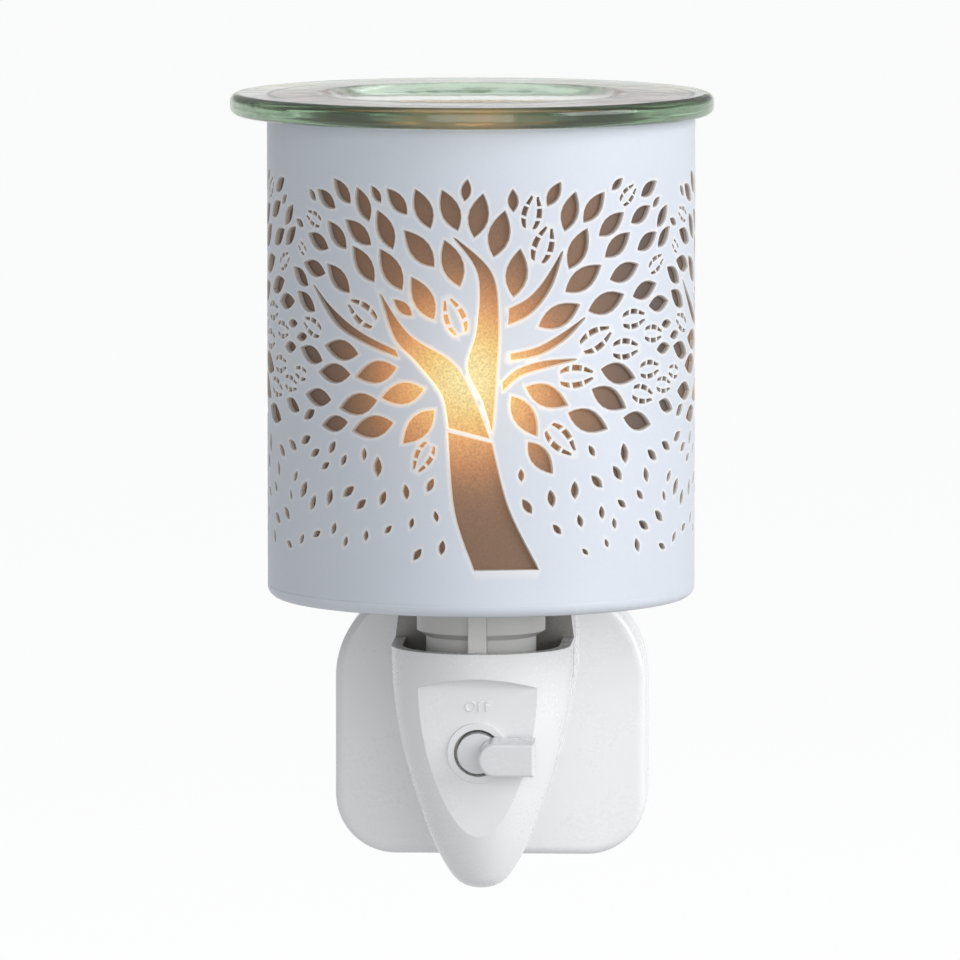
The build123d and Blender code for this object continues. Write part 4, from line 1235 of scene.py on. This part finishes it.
@dataclass
class Dish:
    """The loose glass dish."""

    colour: Colour = (0.98, 1.0, 0.985)
    tint: Colour = (0.40, 0.70, 0.48)
    rim: Colour = (0.43, 0.62, 0.42)

    def build(self) -> None:
        """Dresses the dish."""
        low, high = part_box("glass_dish")
        middle, reach = (low + high) / 2, (high.x - low.x) / 2
        # The lamp's place puts the painted glow on the dish's rim.
        glass = Glass(
            "green_edged_glass", self.colour, self.tint, density=3.0, roughness=0.13, wave=0.24,
            rim=self.rim, axis=(middle.x, middle.y), reach=reach, lamp=lamp_place(),
        )
        dress(glass, "glass_dish")


@dataclass
class Bulb:
    """The small screw bulb."""

    glass: Glass = Glass("thin_clear_glass", (1.0, 0.99, 0.97))

    def build(self) -> None:
        """Dresses the bulb's pieces."""
        dress(self.glass, "bulb_glass", "bulb_stem")
        dress(PLATED, "bulb_cap", "bulb_leads")
        dress(SOLDER, "bulb_tip")
        dress(BEAD, "bulb_insulator")
        dress(HotCoil(), "bulb_filament")


@dataclass
class Base:
    """The housing, plug and lampholder with what is inside them, and the mark over the switch."""

    mark: str = "OFF"
    mark_size: float = 2.7 * MM
    mark_proud: float = 0.18 * MM
    mark_rise: float = 8.2 * MM
    cup_wall: float = 2.0 * MM
    cup_floor: float = 14.0 * MM
    neck_out: float = 19.0 * MM
    skin_clear: float = 0.05 * MM

    def build(self) -> None:
        """Dresses the base's pieces and adds the mark."""
        dress(WHITE, "plug_plate", "pin_base")
        dress(self.housing(), "front_housing")
        dress(HOLDER, "lampholder_body")
        dress(PLATED, "holder_clip", "rear_screws")
        dress(BRASS, "line_pin", "neutral_pin", "screw_shell", "centre_contact", "shell_contact")
        dress(BRASS, "line_terminal", "load_terminal")
        dress(SLEEVE, "pin_sleeves")
        dress(SWITCH, "switch_case")
        dress(BROWN_WIRE, "line_lead", "load_lead")
        dress(BLUE_WIRE, "neutral_lead")
        self.build_mark()

    def housing(self) -> Skin:
        """The white skin with painted shade in its cup."""
        low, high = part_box("front_housing")
        axis = sum(corner.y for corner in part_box("shade_wall")) / 2
        reach = (high.x - low.x) / 2 - self.cup_wall + self.skin_clear
        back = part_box("plug_plate")[0].y - self.neck_out + self.skin_clear
        painted_cup_shade = PaintedCupShade(axis, reach, self.cup_floor - self.skin_clear, back)
        return replace(WHITE, name="glossy_white_housing_painted_cup_shade", painted_cup_shade=painted_cup_shade)

    def build_mark(self) -> None:
        """Raises the switch's mark on its panel, upright over the knob."""
        joint = next(j for j in frame["record"]["behaviour"]["joints"] if j["name"] == "knob_turn")
        out = Vector(joint["axis"]).normalized()
        right = Vector((1.0, 0.0, 0.0))
        up = out.cross(right)
        curve = bpy.data.curves.new("switch_mark", "FONT")
        curve.body = self.mark
        curve.size = self.mark_size
        curve.align_x = "CENTER"
        curve.align_y = "CENTER"
        curve.extrude = self.mark_proud
        curve.resolution_u = 4
        letters = bpy.data.objects.new("switch_mark_letters", curve)
        mesh = bpy.data.meshes.new_from_object(letters)
        bpy.data.objects.remove(letters)
        turn = Matrix((right, up, out)).transposed().to_4x4()
        mesh.transform(Matrix.Translation(Vector(joint["pos_m"]) + self.mark_rise * up) @ turn)
        mesh.materials.clear()
        mesh.materials.append(WHITE.material())
        mark = linked("switch_mark", mesh)
        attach(mark, BASE_BODY)
        LOG.info("%s: %s", WHITE.name, mark.name)


@dataclass
class Switch:
    """The turning part of the switch."""

    def build(self) -> None:
        """Dresses the knob, cam and bridge."""
        dress(KNOB_PAINTED_SHADE, "switch_knob")
        dress(SWITCH, "switch_rotor")
        dress(BRASS, "switch_bridge")


# Studio


@dataclass(frozen=True)
class SoftLight:
    """A soft square light: its way round and up, distance and side in metres, and power in watts."""

    name: str
    azimuth: float
    elevation: float
    away: float
    size: float
    power: float


@dataclass
class Studio:
    """A pale floor that runs out of sight, soft light from the right, and the camera."""

    azimuth: float = 3.1
    elevation: float = 5.7
    distance: float = 2.0
    lens: float = 427.0
    sensor: float = 36.0
    aim_z: float = 46.1 * MM
    aim_x: float = -0.2 * MM
    floor_drop: float = 95 * MM
    floor_reach: float = 12.0
    floor_colour: Colour = (0.18, 0.18, 0.18)
    floor_fill: float = 0.29
    floor_white: float = 0.89
    sky: Colour = (0.93, 0.96, 1.0)
    sky_fill: float = 0.40
    sky_grey: float = 0.66
    white: Colour = (1.0, 1.0, 1.0)
    bulb_colour: Colour = (1.0, 0.62, 0.28)
    bulb_power: float = 0.09
    bulb_soft: float = 9 * MM
    bulb_lift: float = 9.5 * MM
    lights: tuple[SoftLight, ...] = (
        SoftLight("key", 68.0, 22.0, 1.3, 0.9, 11.4),
        SoftLight("front", 4.0, 6.0, 1.5, 1.1, 8.2),
    )

    def build(self) -> None:
        """Makes the world, the floor, the lights and the camera."""
        low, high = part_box("shade_wall")
        aim = Vector((self.aim_x, (low.y + high.y) / 2, self.aim_z))
        self.world()
        self.floor(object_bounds()[0].z - self.floor_drop)
        for light in self.lights:
            self.area(light, aim)
        self.lamp_inside()
        self.camera(aim)

    def face(self, thing: Object, aim: Vector, azimuth: float, elevation: float, away: float) -> None:
        """Stands a light or the camera off the object and points it there.

        Args:
            thing: what is placed.
            aim: where it points.
            azimuth: its way round from the front, 90 to the right.
            elevation: its height above level, in degrees.
            away: its distance.
        """
        a, e = math.radians(azimuth), math.radians(elevation)
        way = Vector((math.sin(a) * math.cos(e), -math.cos(a) * math.cos(e), math.sin(e)))
        thing.location = aim + away * way
        thing.rotation_mode = "QUATERNION"
        thing.rotation_quaternion = (-way).to_track_quat("-Z", "Y")

    def seen(self, graph: Graph) -> tuple[Node, Socket]:
        """Which rays see the studio white.

        Args:
            graph: the world's or the floor's graph.

        Returns:
            The Light Path node, and 1 for a ray that sees white.
        """
        path = graph.add("ShaderNodeLightPath")
        seen = path.outputs[Ray.CAMERA.value]
        for ray in (Ray.GLOSSY, Ray.TRANSMISSION):
            seen = graph.math("MAXIMUM", seen, path.outputs[ray.value])
        return path, graph.times(seen, graph.math("LESS_THAN", path.outputs["Diffuse Depth"], 0.5))

    def world(self) -> None:
        """A soft sky that looks white, with a greyer height in reflections."""
        world = bpy.data.worlds.new("studio")
        bpy.context.scene.world = world
        graph = fresh_graph(world)
        path, seen = self.seen(graph)
        way = graph.add("ShaderNodeTexCoord").outputs["Generated"]
        up = graph.add("ShaderNodeSeparateXYZ", {0: way}).outputs["Z"]
        through = path.outputs[Ray.TRANSMISSION.value]
        mirrored = graph.times(path.outputs[Ray.GLOSSY.value], graph.minus(1.0, through))
        grey = graph.times(mirrored, graph.span(up, 0.02, 0.16, 0.0, self.sky_grey))
        dim = graph.add("ShaderNodeBackground", {"Color": rgba(self.sky), "Strength": self.sky_fill})
        bright = {"Color": rgba(self.white), "Strength": graph.minus(1.0, grey)}
        white = graph.add("ShaderNodeBackground", bright)
        both = graph.add("ShaderNodeMixShader", {0: seen, 1: dim.outputs[0], 2: white.outputs[0]})
        graph.add("ShaderNodeOutputWorld", {"Surface": both.outputs[0]})

    def floor(self, height: float) -> None:
        """A wide pale floor that takes the object's shadow."""
        material = bpy.data.materials.new("pale_floor")
        graph = fresh_graph(material)
        _, seen = self.seen(graph)
        matt = graph.add("ShaderNodeBsdfDiffuse", {"Color": rgba(self.floor_colour)})
        strength = graph.span(seen, 0.0, 1.0, self.floor_fill, self.floor_white)
        light = graph.add("ShaderNodeEmission", {"Color": rgba(self.white), "Strength": strength})
        both = graph.add("ShaderNodeAddShader", {0: matt.outputs[0], 1: light.outputs[0]})
        graph.add("ShaderNodeOutputMaterial", {"Surface": both.outputs[0]})
        mesh = bpy.data.meshes.new("floor")
        ways = ((-1, -1), (1, -1), (1, 1), (-1, 1))
        corners = [(self.floor_reach * x, self.floor_reach * y, height) for x, y in ways]
        mesh.from_pydata(corners, [], [(0, 1, 2, 3)])
        mesh.materials.append(material)
        floor = linked("floor", mesh)
        floor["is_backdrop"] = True

    def area(self, light: SoftLight, aim: Vector) -> None:
        """Sets up one soft light that faces the object."""
        data = bpy.data.lights.new(light.name, "AREA")
        data.energy = light.power
        data.size = light.size
        self.face(linked(light.name, data), aim, light.azimuth, light.elevation, light.away)

    def lamp_inside(self) -> None:
        """The bulb's own warm light, over the globe and under the dish."""
        low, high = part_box("bulb_glass")
        data = bpy.data.lights.new("bulb_light", "POINT")
        data.energy = self.bulb_power
        data.color = self.bulb_colour
        data.shadow_soft_size = self.bulb_soft
        lamp = linked("bulb_light", data)
        lamp.location = Vector(((low.x + high.x) / 2, (low.y + high.y) / 2, high.z + self.bulb_lift))
        lamp.visible_transmission = False
        lamp.visible_glossy = False

    def camera(self, aim: Vector) -> None:
        """The camera at the photograph's angle."""
        data = bpy.data.cameras.new("camera")
        data.lens = self.lens
        data.sensor_width = self.sensor
        data.clip_start = 0.05
        data.clip_end = 100.0
        camera = linked("camera", data)
        self.face(camera, aim, self.azimuth, self.elevation, self.distance)
        bpy.context.scene.camera = camera


def main() -> None:
    """Builds the pieces in order and sets the scene."""
    logging.basicConfig(level=logging.INFO, format="%(name)s: %(message)s")
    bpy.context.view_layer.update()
    for part in (Shade(), Dish(), Bulb(), Base(), Switch()):
        part.build()
    Studio().build()
    bpy.context.scene.view_settings.view_transform = "Standard"


if __name__ == "__main__":
    main()
